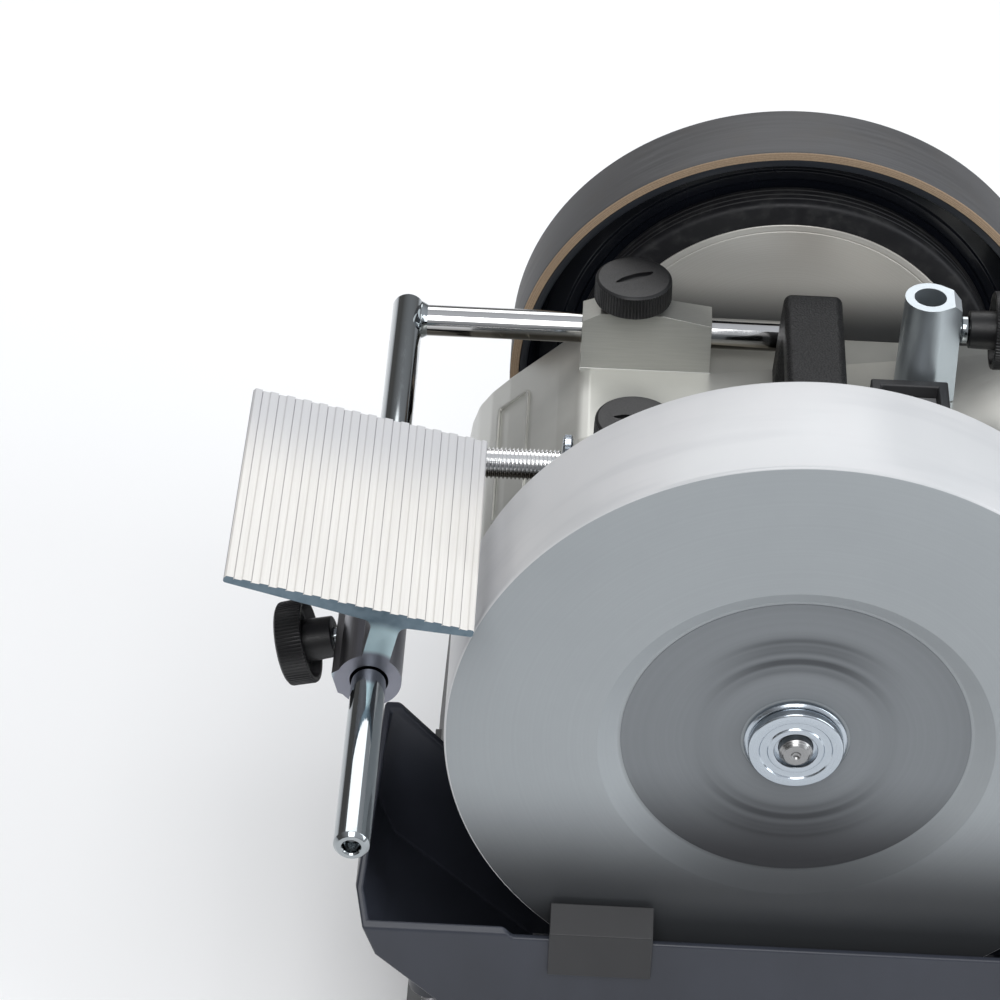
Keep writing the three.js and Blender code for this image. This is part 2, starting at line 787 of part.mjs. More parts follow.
// T-shaped extrusion in the plane across the bar: u along the table, v away from the bar's axis.
function toolRestSection() {
  const left = -57.1;
  const right = 29.3;
  const tip = 28.6;
  const root = 25.8;
  const stem = 4.75;
  const fillet = 3;
  const outer = 11.15;
  const stemFoot = Math.sqrt(outer ** 2 - stem ** 2);
  const lobe = [[-10.99, 1.93], [-13.2, -0.4], [-9.1, -8.2], [-7.31, -8.42]];
  const firstRib = 3.2;
  const ribPitch = 6;
  const ribWidth = 2.8;
  const ribSlope = 0.5;
  const ribDepth = 0.5;
  const ribs = 14;
  const section = new THREE.Shape();
  section.moveTo(left, tip);
  section.lineTo(-stem - fillet, root);
  section.quadraticCurveTo(-stem, root, -stem, root - fillet);
  section.lineTo(-stem, stemFoot);
  section.absarc(0, 0, outer, Math.atan2(stemFoot, -stem), Math.atan2(lobe[0][1], lobe[0][0]), false);
  lobe.slice(1).forEach(([u, v]) => section.lineTo(u, v));
  section.absarc(0, 0, outer, Math.atan2(lobe[3][1], lobe[3][0]), Math.atan2(stemFoot, stem), false);
  section.lineTo(stem, root - fillet);
  section.quadraticCurveTo(stem, root, stem + fillet, root);
  section.lineTo(right, tip);
  section.lineTo(right, REST_TOP - 0.5);
  section.lineTo(right - 0.5, REST_TOP);
  for (let i = ribs - 1; i >= 0; i--) {
    const crest = left + firstRib + i * ribPitch;
    section.lineTo(crest + ribPitch - ribWidth, REST_TOP);
    section.lineTo(crest + ribPitch - ribWidth - ribSlope, REST_TOP - ribDepth);
    section.lineTo(crest, REST_TOP - ribDepth);
    section.lineTo(crest, REST_TOP);
  }
  section.lineTo(left + 0.5, REST_TOP);
  section.lineTo(left, REST_TOP - 0.5);
  const bore = new THREE.Path();
  bore.absarc(0, 0, BAR_R + 0.7, 0, 2 * Math.PI, true);
  section.holes.push(bore);
  return section;
}

function toolRest() {
  const body = alongY(toolRestSection(), REST_NEAR_Y, REST_NEAR_Y + REST_LENGTH);
  const hole = turnedAcross(rod(3.4, -20, 0), 16);
  const screwHole = hole.rotateY(-REST_KNOB_ANGLE).translate(0, REST_KNOB_Y, 0);
  return part("tool_rest", cut(body, screwHole), finish(COLOURS.aluminium, 0.4, 1));
}

// ---------- clamp knobs ----------

// Turned knob standing on its own +Z axis, rim face at z = 0, with its boss below.
function clampKnob(name, boss) {
  const profile = [
    [0, 6],
    [3.3, 6],
    [3.3, -boss],
    [BOSS_R, -boss],
    [BOSS_R + 0.4, 3.5],
    [KNOB_R - 2.6, 3.5],
    [KNOB_R - 1.8, 0],
    [KNOB_R, 0],
    [KNOB_R, KNOB_THICK - 1],
    [KNOB_R - 1.1, KNOB_THICK],
    [0, KNOB_THICK],
  ];
  return part(name, turnedUp(profile, 24), finish(COLOURS.knobPlastic, 0.5, 0));
}

function clampScrew(name, tip, collar, boss) {
  const profile = collar
    ? [
        [0, tip],
        [3, tip],
        [3, -boss - GAP - collar],
        [5.4, -boss - GAP - collar],
        [5.4, -boss - GAP],
        [3, -boss - GAP],
        [3, 5.7],
        [0, 5.7],
      ]
    : rod(3, tip, 5.7);
  return part(name, turnedUp(profile, 20), finish(COLOURS.steel, 0.3, 1));
}

function knobSet(label, boss, tip, collar = 0) {
  const group = new THREE.Group();
  group.add(clampKnob(label + "_knob", boss), clampScrew(label + "_screw", tip, collar, boss));
  return group;
}

function sleeveKnob(label, x, y, rimZ) {
  const sleeveTop = 255.9;
  const group = knobSet(label, rimZ - sleeveTop - GAP, BAR_Z + BAR_R + 0.4 - rimZ);
  group.position.set(x, y, rimZ);
  return group;
}

function postKnob(label, y) {
  const rim = 24.7;
  const group = knobSet(label, 9, BAR_R + 0.6 - rim, 2.7);
  group.position.set(POST_X + rim, y, POST_KNOB_Z);
  group.rotation.y = Math.PI / 2;
  return group;
}

function restAssembly() {
  const rim = 22.8;
  const group = new THREE.Group();
  group.position.set(CROSS_BAR_X, 0, BAR_Z);
  group.rotation.y = REST_TILT;
  const knob = knobSet("tool_rest", 8.6, BAR_R + 0.4 - rim);
  knob.position.set(-rim * Math.cos(REST_KNOB_ANGLE), REST_KNOB_Y, -rim * Math.sin(REST_KNOB_ANGLE));
  knob.rotation.y = -Math.PI / 2 - REST_KNOB_ANGLE;
  group.add(toolRest(), knob);
  return group;
}

// ---------- water trough and its lift ----------

const TROUGH = { nearY: -12, farY: 58.5, floor: 46, wall: 3, rim: 112, rear: 118 };

// Outer shape across the shaft: flat floor, raked front that leans back above the water line.
function troughSection(inset) {
  const { floor, rear } = TROUGH;
  const open = inset ? 3 : 0;
  return outline([
    [-92 + inset * 0.4, floor + inset],
    [92 - inset * 0.4, floor + inset],
    [rear - inset, 72 + inset * 0.4],
    [rear - inset, 166 + open],
    [-148.5 + inset, 166 + open],
    [-156 + inset, 122],
    [-148 + inset, 100],
  ]);
}

function waterTrough() {
  const { nearY, farY, wall, rim, rear } = TROUGH;
  const walls = cut(
    alongY(troughSection(0), nearY, farY),
    alongY(troughSection(wall), nearY + wall, farY - wall),
  );
  // Rim: rises from the near wall to the splash guard beside the casing.
  const over = 180;
  const slant = outline([
    [nearY - 2, rim + 0.1],
    [farY + 2, 164.8],
    [farY + 2, over],
    [nearY - 2, over],
  ]);
  const aboveRim = alongX(slant, -160, rear + 2);
  // Behind the stone the far wall and the rear wall drop to the rim height.
  const rearPart = outline([
    [-97.6, rim],
    [rear + 2, rim],
    [rear + 2, over],
    [-158.3, over],
  ]);
  const behind = alongY(rearPart, nearY - 2, farY + 2);
  const boss = turnedUp(rod(9, 52, 92), 24).translate(LIFT_X, LIFT_Y, 0);
  const inside = alongY(troughSection(wall), nearY + wall, farY - wall);
  const screwHole = turnedUp(rod(4.3, 50, 78), 20).translate(LIFT_X, LIFT_Y, 0);
  const body = join(cut(walls, aboveRim, behind), cut(boss, inside));
  return part("water_trough", cut(body, screwHole), finish(COLOURS.blackPlastic, 0.4, 0));
}

// Clips over the near wall and wipes the stone's face.
function troughScraper() {
  const { nearY } = TROUGH;
  const section = outline([
    [nearY - 1.8, 96],
    [nearY - GAP, 96],
    [nearY - GAP, 114.6],
    [nearY + 5, 114.6],
    [-1.2, 120],
    [-2.6, 122],
    [nearY - 1.8, 116.6],
  ]);
  return part("trough_scraper", alongX(section, -84, -46), finish(COLOURS.knobPlastic, 0.6, 0));
}

function trough() {
  const group = new THREE.Group();
  group.add(waterTrough(), troughScraper());
  return group;
}

function liftBracket() {
  const arm = box(LIFT_X - 10, LIFT_X + 10, LIFT_Y - 11, CASE_NEAR_Y, 28, 32);
  const flange = box(LIFT_X - 3, LIFT_X + 10, CASE_NEAR_Y - 3, CASE_NEAR_Y, 17, 42);
  const hole = turnedUp(rod(4.3, 20, 40), 20).translate(LIFT_X, LIFT_Y, 0);
  return part("lift_bracket", cut(join(arm, flange), hole), finish(COLOURS.darkPaint, 0.5, 0.6));
}

function lift() {
  const group = new THREE.Group();
  group.position.set(LIFT_X, LIFT_Y, 0);
  group.add(part("lift_screw", turnedUp(rod(4, 18, 60, 0.8), 20), finish(COLOURS.steel, 0.3, 1)));
  const knobProfile = [
    [0, 12],
    [13, 12],
    [15, 14],
    [15, 25],
    [13.6, 26.4],
    [7, 26.4],
    [6.5, 27.6],
    [4.3, 27.6],
    [4.3, 17.7],
    [0, 17.7],
  ];
  group.add(part("lift_knob", turnedUp(knobProfile, 28), finish(COLOURS.knobPlastic, 0.5, 0)));
  return group;
}

// ---------- assembly ----------

function casing() {
  const group = new THREE.Group();
  group.add(topCasting(), housingShell(), basePlate(), handle(), accessoryHolder(), holderPad());
  for (const [side, x] of [["front", -112], ["rear", 112]]) {
    group.add(rubberFoot("foot_" + side + "_near", x, 78));
    group.add(rubberFoot("foot_" + side + "_far", x, 188));
  }
  group.add(bushing("bushing_near", CASE_NEAR_Y - 1.5, 1), bushing("bushing_far", CASE_FAR_Y + 1.5, -1));
  group.add(horizontalSleeve("horizontal_sleeve_near", NEAR_LEG_Y, NEAR_KNOB_X));
  group.add(horizontalSleeve("horizontal_sleeve_far", FAR_LEG_Y, FAR_KNOB_X));
  group.add(verticalSleeve("vertical_sleeve_near", POST_NEAR_Y));
  group.add(verticalSleeve("vertical_sleeve_far", POST_FAR_Y));
  group.add(switchBezel(), cordInlet(), capacitor());
  group.add(motorBracket(), pivotPin(), torsionSpring(), liftBracket());
  return group;
}

function support() {
  const group = new THREE.Group();
  group.add(supportCrossBar());
  group.add(supportLeg("support_smooth_leg", FAR_LEG_Y, 2));
  group.add(supportLeg("support_threaded_leg", NEAR_LEG_Y, -22));
  return group;
}

const sharpener = new THREE.Group();
sharpener.position.set(FRAME_SHIFT.x, FRAME_SHIFT.y, 0);
sharpener.add(casing(), spindle(), motor(), rotor(), support(), microAdjustNut(), restAssembly());
sharpener.add(sleeveKnob("horizontal_near", NEAR_KNOB_X, NEAR_LEG_Y, 258.5));
sharpener.add(sleeveKnob("horizontal_far", FAR_KNOB_X, FAR_LEG_Y, 259.7));
sharpener.add(postKnob("vertical_near", POST_NEAR_Y), postKnob("vertical_far", POST_FAR_Y));
sharpener.add(trough(), lift(), rocker());

export default sharpener;
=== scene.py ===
import json
import math

import bmesh
import bpy
from mathutils import Matrix, Vector

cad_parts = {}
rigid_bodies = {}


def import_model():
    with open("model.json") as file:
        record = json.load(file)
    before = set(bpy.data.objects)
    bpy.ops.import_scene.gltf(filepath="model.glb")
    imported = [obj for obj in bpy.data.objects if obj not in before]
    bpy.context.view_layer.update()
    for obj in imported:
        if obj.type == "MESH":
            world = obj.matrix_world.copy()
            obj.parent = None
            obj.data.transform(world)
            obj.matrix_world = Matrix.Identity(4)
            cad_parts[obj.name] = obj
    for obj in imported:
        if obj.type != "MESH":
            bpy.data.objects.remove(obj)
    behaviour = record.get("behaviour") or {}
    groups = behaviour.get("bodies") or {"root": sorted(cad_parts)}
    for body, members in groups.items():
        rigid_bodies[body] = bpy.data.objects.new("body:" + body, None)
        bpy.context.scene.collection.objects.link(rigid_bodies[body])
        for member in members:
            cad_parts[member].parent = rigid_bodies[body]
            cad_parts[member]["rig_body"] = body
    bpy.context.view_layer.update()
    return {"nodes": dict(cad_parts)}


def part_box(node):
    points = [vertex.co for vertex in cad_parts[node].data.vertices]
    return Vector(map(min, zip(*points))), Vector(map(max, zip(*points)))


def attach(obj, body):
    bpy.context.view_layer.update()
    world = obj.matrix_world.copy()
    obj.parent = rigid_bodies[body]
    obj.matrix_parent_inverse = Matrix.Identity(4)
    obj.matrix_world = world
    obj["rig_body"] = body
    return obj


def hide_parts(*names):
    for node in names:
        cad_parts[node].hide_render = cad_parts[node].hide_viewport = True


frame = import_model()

# Looks of the sharpener that grinds on a water-fed stone, built round the imported CAD frame.
#
# Pieces are modelled in millimetres in a layout frame: x = 0 on the shaft's axis, y = 0 on the
# stone's outer face, z = 0 on the bench. piece() moves a finished mesh into the row frame in metres.

# ---------- the frame ----------

MM = 0.001
SHAFT_LOW, SHAFT_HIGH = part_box("main_shaft")
STONE_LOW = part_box("grindstone")[0]
AXIS_X = (SHAFT_LOW.x + SHAFT_HIGH.x) / 2
AXIS_Z = (SHAFT_LOW.z + SHAFT_HIGH.z) / 2 / MM
LAYOUT = Matrix.Translation((AXIS_X, STONE_LOW.y, 0)) @ Matrix.Scale(MM, 4)
FROM_ROW = LAYOUT.inverted()


def layout_box(node):
    """Lowest corner, highest corner and middle of a CAD node, in the layout frame."""
    low, high = (FROM_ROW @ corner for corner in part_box(node))
    return low, high, (low + high) / 2


def at(x, y, z):
    return Matrix.Translation((x, y, z))


ALONG_Y = Matrix.Rotation(-math.pi / 2, 4, "X")
ALONG_X = Matrix.Rotation(math.pi / 2, 4, "Y")
SPINDLE = at(0, 0, AXIS_Z) @ ALONG_Y

# The bar support: the cross bar's x, the height of the bars, and the y of its two legs.
CROSS_X = -150
BAR_Z = 245
NEAR_LEG_Y = 100.5
FAR_LEG_Y = 190.5

# ---------- mesh tools ----------


def new_object(name, mesh):
    made = bpy.data.objects.new(name, mesh)
    bpy.context.scene.collection.objects.link(made)
    return made


def from_bmesh(name, bm, place=None):
    bmesh.ops.recalc_face_normals(bm, faces=bm.faces)
    mesh = bpy.data.meshes.new(name)
    bm.to_mesh(mesh)
    bm.free()
    if place is not None:
        mesh.transform(place)
    return new_object(name, mesh)


def shade(obj, angle=35):
    """Smooth shading, with edges sharper than the angle kept crisp."""
    obj.data.polygons.foreach_set("use_smooth", [True] * len(obj.data.polygons))
    obj.data.set_sharp_from_angle(angle=math.radians(angle))
    return obj


def freeze(obj):
    """Applies the modifiers."""
    graph = bpy.context.evaluated_depsgraph_get()
    mesh = bpy.data.meshes.new_from_object(obj.evaluated_get(graph))
    obj.modifiers.clear()
    obj.data = mesh
    return obj


def carve(obj, *tools, operation="DIFFERENCE"):
    """Cuts the tools from the object, or joins them to it, and deletes them."""
    for tool in tools:
        cut = obj.modifiers.new("cut", "BOOLEAN")
        cut.operation = operation
        cut.solver = "EXACT"
        cut.object = tool
    freeze(obj)
    for tool in tools:
        bpy.data.objects.remove(tool)
    return obj


def soften(obj, width, segments=2, angle=30):
    """Rounds every edge sharper than the angle, and keeps flat faces flat."""
    shade(obj, angle)
    rounding = obj.modifiers.new("rounding", "BEVEL")
    rounding.width = width
    rounding.segments = segments
    rounding.limit_method = "ANGLE"
    rounding.angle_limit = math.radians(angle)
    rounding.harden_normals = True
    return freeze(obj)


def round_edges(obj, width, segments, chosen):
    """Rounds the edges sharper than 30 degrees whose two ends pass the test."""
    bm = bmesh.new()
    bm.from_mesh(obj.data)
    limit = math.radians(30)
    edges = [
        e
        for e in bm.edges
        if len(e.link_faces) == 2
        and e.calc_face_angle(0) > limit
        and chosen(e.verts[0].co, e.verts[1].co)
    ]
    shape = {"profile": 0.5, "affect": "EDGES", "clamp_overlap": True}
    bmesh.ops.bevel(bm, geom=edges, offset=width, segments=segments, **shape)
    bm.to_mesh(obj.data)
    bm.free()
    return obj


def corner_arc(before, corner, after, radius, steps):
    """Points of the arc that rounds a corner of an outline."""
    to_before = before - corner
    to_after = after - corner
    half = to_before.angle(to_after) / 2
    reach = min(radius / math.tan(half), 0.49 * to_before.length, 0.49 * to_after.length)
    start = corner + to_before.normalized() * reach
    end = corner + to_after.normalized() * reach
    middle = (to_before.normalized() + to_after.normalized()).normalized()
    centre = corner + middle * (reach / math.cos(half))
    first = math.atan2(start.y - centre.y, start.x - centre.x)
    last = math.atan2(end.y - centre.y, end.x - centre.x)
    sweep = (last - first + math.pi) % (2 * math.pi) - math.pi
    size = (start - centre).length
    turns = [first + sweep * i / steps for i in range(steps + 1)]
    return [centre + Vector((math.cos(t), math.sin(t))) * size for t in turns]


def rounded(points, steps):
    """A closed outline. A point given with a third number is rounded with that radius."""
    corners = [Vector(p[:2]) for p in points]
    made = []
    for i, point in enumerate(points):
        if len(point) == 2:
            made.append(corners[i])
            continue
        before = corners[i - 1]
        after = corners[(i + 1) % len(points)]
        made += corner_arc(before, corners[i], after, point[2], steps)
    return [tuple(p) for p in made]


def polar(radius, turn, *height):
    """A point on a circle, at a height where one is given."""
    return (radius * math.cos(turn), radius * math.sin(turn), *height)


def lathe(name, profile, place, segments, ripple=None):
    """A closed profile of (radius, height) points turned about the local Z axis.

    ripple(step, radius, height) gives what is taken off the radius, such as ribs on a rim.
    """
    points = rounded(profile, 4)
    bm = bmesh.new()
    rings = []
    for radius, height in points:
        if radius < 1e-6:
            rings.append([bm.verts.new((0, 0, height))])
            continue
        ring = []
        for step in range(segments):
            r = radius - (ripple(step, radius, height) if ripple else 0)
            ring.append(bm.verts.new(polar(r, 2 * math.pi * step / segments, height)))
        rings.append(ring)
    for i, ring in enumerate(rings):
        above = rings[(i + 1) % len(rings)]
        if len(ring) == 1 and len(above) == 1:
            continue
        for step in range(segments):
            after = (step + 1) % segments
            corners = [ring[step % len(ring)], ring[after % len(ring)]]
            corners += [above[after % len(above)], above[step % len(above)]]
            bm.faces.new(list(dict.fromkeys(corners)))
    return from_bmesh(name, bm, place)


def loft(name, lower, upper):
    """A closed solid between two rings of as many points."""
    bm = bmesh.new()
    bottom = [bm.verts.new(point) for point in lower]
    top = [bm.verts.new(point) for point in upper]
    bm.faces.new(bottom)
    bm.faces.new(top)
    for i, vertex in enumerate(bottom):
        after = (i + 1) % len(bottom)
        bm.faces.new([vertex, bottom[after], top[after], top[i]])
    return from_bmesh(name, bm)


def prism(name, outline, low, high, axis, steps=6):
    """An outline extruded along an axis: drawn in (x, z) along Y, (y, z) along X, (x, y) along Z."""
    spots = {
        "Y": lambda a, b, c: (a, c, b),
        "X": lambda a, b, c: (c, a, b),
        "Z": lambda a, b, c: (a, b, c),
    }[axis]
    points = rounded(outline, steps)
    return loft(name, [spots(a, b, low) for a, b in points], [spots(a, b, high) for a, b in points])


def block(name, low, high):
    """A square-edged cutter or seat between two corners."""
    (x0, y0, z0), (x1, y1, z1) = low, high
    return prism(name, [(x0, y0), (x1, y0), (x1, y1), (x0, y1)], z0, z1, "Z")


def round_bar(name, radius, low, high, place, segments=64):
    """A plain round cutter."""
    return lathe(name, [(0, low), (radius, low), (radius, high), (0, high)], place, segments)


def threaded_bar(name, radius, pitch, depth, start, end, place, around=48):
    """A bar along the local Z axis with a real helical thread, fading out at both ends."""
    rings_per_turn = 6
    rings = int((end - start) / pitch * rings_per_turn)
    bm = bmesh.new()
    rows = []
    for i in range(rings + 1):
        height = start + (end - start) * i / rings
        fade = min(1, (height - start) / pitch, (end - height) / pitch)
        row = []
        for step in range(around):
            phase = (height / pitch - step / around) % 1
            flank = abs(2 * phase - 1)
            r = radius - depth * (1 - fade + fade * min(1, 1.25 * flank))
            row.append(bm.verts.new(polar(r, 2 * math.pi * step / around, height)))
        rows.append(row)
    for row, above in zip(rows, rows[1:]):
        for step in range(around):
            after = (step + 1) % around
            bm.faces.new([row[step], row[after], above[after], above[step]])
    bm.faces.new(rows[0])
    bm.faces.new(rows[-1])
    return from_bmesh(name, bm, place)


def refined(node, width, segments):
    """A copy of a CAD node with its triangles merged into faces and its edges rounded."""
    mesh = frame["nodes"][node].data.copy()
    mesh.transform(FROM_ROW)
    bm = bmesh.new()
    bm.from_mesh(mesh)
    bmesh.ops.remove_doubles(bm, verts=bm.verts, dist=0.005)
    bmesh.ops.dissolve_limit(bm, angle_limit=math.radians(0.6), verts=bm.verts, edges=bm.edges)
    bm.to_mesh(mesh)
    bm.free()
    return soften(new_object(node + "_shape", mesh), width, segments)


def paint(obj, look, test):
    """Gives the faces that pass the test another look. The test gets a face's centre and normal."""
    obj.data.materials.append(look.material)
    index = len(obj.data.materials) - 1
    for face in obj.data.polygons:
        if test(face.center, face.normal):
            face.material_index = index
    return obj


def coat(obj, look):
    """Gives the whole mesh one look."""
    obj.data.materials.clear()
    obj.data.materials.append(look.material)
    for face in obj.data.polygons:
        face.material_index = 0
    return obj


def piece(obj, *nodes, body=None, slot=None):
    """Moves a finished mesh to the row frame, onto its body, in place of the CAD nodes named."""
    obj.data.transform(LAYOUT)
    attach(obj, body or frame["nodes"][nodes[0]]["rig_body"])
    if nodes:
        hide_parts(*nodes)
    return obj


def turned(name, profile, look, node, segments=128, angle=28, place=SPINDLE, ripple=None):
    """A lathe piece with one look, in place of a CAD node."""
    piece(coat(shade(lathe(name, profile, place, segments, ripple), angle), look), node)


def rounded_nodes(*rows):
    """CAD nodes that only need rounded edges and a finish: node, width, segments and look."""
    for node, width, segments, look in rows:
        piece(coat(refined(node, width, segments), look), node)


# ---------- material tools ----------


def linear(colour):
    """The linear colour, with alpha, of three display values from 0 to 1."""
    return (*(c / 12.92 if c <= 0.04045 else ((c + 0.055) / 1.055) ** 2.4 for c in colour), 1)


def scaled(colour, times):
    return tuple(c * times for c in colour)


class Look:
    """A node material: a principled shader and the textures that feed it.

    Colours are three display values from 0 to 1.
    """

    def __init__(self, name, colour, roughness, metallic=0.0, **sockets):
        self.material = bpy.data.materials.new(name)
        self.material.use_nodes = True
        self.nodes = self.material.node_tree.nodes
        self.links = self.material.node_tree.links
        self.shader = self.nodes["Principled BSDF"]
        self.relief = None
        self.put("Base Color", linear(colour))
        self.put("Roughness", roughness)
        self.put("Metallic", metallic)
        for socket, value in sockets.items():
            self.put(socket.replace("_", " "), value)

    def put(self, socket, value):
        self.shader.inputs[socket].default_value = value

    def add(self, kind, inputs, **values):
        """A node with its properties and inputs set. An input is a number, a vector or a socket to join."""
        made = self.nodes.new("ShaderNode" + kind)
        for key, value in values.items():
            setattr(made, key, value)
        for key, value in inputs.items():
            if isinstance(value, bpy.types.NodeSocket):
                self.links.new(value, made.inputs[key])
            else:
                made.inputs[key].default_value = value
        return made

    def place(self, stretch=(1, 1, 1), centre=(0, 0, 0)):
        """Coordinates in the part's own frame, in metres from the centre, times stretch."""
        source = self.add("TexCoord", {}).outputs["Object"]
        offset = [-c * s for c, s in zip(centre, stretch)]
        return self.add("Mapping", {"Vector": source, "Location": offset, "Scale": stretch}).outputs[0]

    def noise(self, scale, detail=3.0, roughness=0.55, stretch=(1, 1, 1)):
        """A cloudy value from 0 to 1. scale is in features per metre."""
        numbers = {"Scale": scale, "Detail": detail, "Roughness": roughness}
        return self.add("TexNoise", {"Vector": self.place(stretch), **numbers}).outputs[0]

    def cells(self, scale):
        """The distance to the nearest point of a random scatter."""
        return self.add("TexVoronoi", {"Vector": self.place(), "Scale": scale}).outputs["Distance"]

    def distance(self, centre, keep):
        """Metres from an axis through centre; keep is 0 along the axis and 1 across it."""
        return self.add("VectorMath", {0: self.place(keep, centre)}, operation="LENGTH").outputs["Value"]

    def along(self, axis):
        """The part's own coordinate along X, Y or Z, in metres."""
        return self.add("SeparateXYZ", {0: self.place()}).outputs[axis]

    def product(self, a, b):
        return self.add("Math", {0: a, 1: b}, operation="MULTIPLY").outputs[0]

    def rings(self, scale, detail):
        """Fine rings about the shaft, as turning or spinning leaves them."""
        away = self.product(self.distance(SHAFT_CENTRE, ACROSS_SHAFT), scale)
        inputs = {"W": away, "Scale": 1.0, "Detail": detail}
        return self.add("TexNoise", inputs, noise_dimensions="1D").outputs[0]

    def span(self, value, start=0.3, end=0.7, low=0.0, high=1.0):
        """value from start to end becomes low to high, held beyond."""
        inputs = {"Value": value, "From Min": start, "From Max": end, "To Min": low, "To Max": high}
        return self.add("MapRange", inputs, interpolation_type="SMOOTHSTEP").outputs["Result"]

    def blend(self, factor, a, b):
        """Colour a where factor is 0, b where it is 1. Each is a tuple or a socket."""
        a, b = (linear(colour) if isinstance(colour, tuple) else colour for colour in (a, b))
        return self.add("Mix", {0: factor, 6: a, 7: b}, data_type="RGBA").outputs[2]

    def tint(self, factor, a, b):
        """Base colour a where factor is 0, b where it is 1."""
        self.links.new(self.blend(factor, a, b), self.shader.inputs["Base Color"])

    def matt(self, value, low, high, start=0.3, end=0.7):
        """Roughness from low to high as value goes from start to end."""
        self.links.new(self.span(value, start, end, low, high), self.shader.inputs["Roughness"])

    def bump(self, height, depth, strength=1.0):
        """Adds relief; depth is in millimetres."""
        inputs = {"Strength": strength, "Distance": depth * MM, "Height": height}
        if self.relief is not None:
            inputs["Normal"] = self.relief
        self.relief = self.add("Bump", inputs).outputs["Normal"]
        self.links.new(self.relief, self.shader.inputs["Normal"])


# ---------- materials ----------

# Positions inside the materials are in metres of the row frame.
SHAFT_CENTRE = (AXIS_X, 0, AXIS_Z * MM)
ACROSS_SHAFT = (1, 0, 1)


def stone_face():
    """Fine grey aluminium oxide, turned, with faint rings, and painted shade darkening its foot where it
    sinks into the trough.
    """
    look = Look("stone_face", (0.63, 0.65, 0.665), 0.45, Specular_IOR_Level=0.3)
    rings = look.rings(900, 4)
    cloud = look.noise(30, 4)
    ringed = look.blend(look.span(rings), (0.598, 0.616, 0.627), (0.606, 0.624, 0.635))
    toned = look.blend(look.span(cloud, 0.35, 0.75, 0, 0.4), ringed, (0.585, 0.603, 0.615))
    # Painted shade from the trough: the face is darkened below these heights, in metres.
    deepest_shade_z, shade_edge_z = 0.128, 0.182
    trough_shade = look.span(look.along("Z"), deepest_shade_z, shade_edge_z, 0.93, 0)
    look.tint(trough_shade, toned, (0.17, 0.175, 0.185))
    look.matt(cloud, 0.38, 0.52)
    look.bump(look.noise(5200, 3), 0.05, 0.4)
    look.bump(rings, 0.015, 0.2)
    return look


def stone_rim():
    """The grinding face: pale, with a film of water and soft streaks along the turning."""
    look = Look("stone_rim", (0.84, 0.845, 0.85), 0.3, Coat_Weight=0.1, Coat_Roughness=0.2)
    film = look.noise(26, 4, 0.5, (1, 0.45, 1))
    streaks = look.noise(120, 3, 0.5, (0.12, 1, 0.12))
    toned = look.blend(look.span(film), (0.785, 0.79, 0.795), (0.815, 0.815, 0.82))
    look.tint(look.span(streaks, 0.45, 0.8, 0, 0.5), toned, (0.74, 0.745, 0.755))
    look.matt(film, 0.28, 0.45, 0.35, 0.65)
    look.bump(film, 0.4, 0.25)
    look.bump(look.noise(3800, 2), 0.02, 0.3)
    return look


def stone_label():
    """Plain dark disc in the stone's recess, with two soft rubbed bands and painted shade darkening its
    foot.
    """
    look = Look("stone_label", (0.53, 0.545, 0.56), 0.38, Specular_IOR_Level=0.3)
    away = look.distance(SHAFT_CENTRE, ACROSS_SHAFT)
    rings = look.rings(420, 3)
    smears = look.rings(210, 1)
    ringed = look.blend(look.span(rings), (0.462, 0.477, 0.49), (0.474, 0.489, 0.502))
    band = look.product(look.span(away, 0.029, 0.035), look.span(away, 0.044, 0.052, 1, 0))
    sideways = look.distance(SHAFT_CENTRE, (1, 0, 0))
    arcs = look.product(band, look.span(sideways, 0.008, 0.042, 1, 0))
    soft = look.product(arcs, look.span(smears, 0.3, 0.7, 0.15, 0.85))
    rubbed = look.blend(soft, ringed, (0.2, 0.21, 0.225))
    # Painted shade from the trough, as on the stone's face: the disc is darkened below these heights, in
    # metres.
    dark, light = 0.142, 0.188
    foot = look.span(look.along("Z"), dark, light, 0.95, 0)
    look.tint(foot, rubbed, (0.12, 0.12, 0.135))
    look.matt(rings, 0.32, 0.45)
    look.bump(rings, 0.008, 0.15)
    return look


def chrome(name="chrome", axis_z=None, bright=0.76, roughness=0.06):
    """Bright plating with the rub marks of sliding clamps. On a level bar, a painted highlight over the
    upper half and a painted reflection below the axis: dark brown, then beige for the casting.
    """
    look = Look(name, (0.62, 0.64, 0.65), roughness, 1.0)
    rubbed = look.noise(70, 5, 0.65)
    look.matt(rubbed, roughness, roughness + 0.11, 0.45, 0.75)
    if axis_z is not None:
        # Painted light on a level bar: above the axis the plating takes the painted highlight grey; just
        # below the axis a painted dark-brown reflection, and lower down a painted beige reflection of the
        # casting.
        under = look.span(look.along("Z"), axis_z - 0.001, axis_z + 0.002, 1, 0)
        rim = look.span(look.along("Z"), axis_z - 0.0044, axis_z - 0.0034)
        shaded = look.blend(rim, (0.66, 0.63, 0.59), (0.36, 0.345, 0.32))
        look.tint(under, (bright, bright, bright), shaded)
    look.bump(look.noise(900, 2, 0.6, (1, 1, 0.08)), 0.003, 0.2)
    return look


def turned_steel(name, colour, roughness):
    """Turned metal with rings round the shaft."""
    look = Look(name, colour, roughness, 1.0)
    rings = look.rings(2600, 3)
    look.matt(rings, roughness - 0.08, roughness + 0.1)
    look.bump(rings, 0.012, 0.5)
    return look


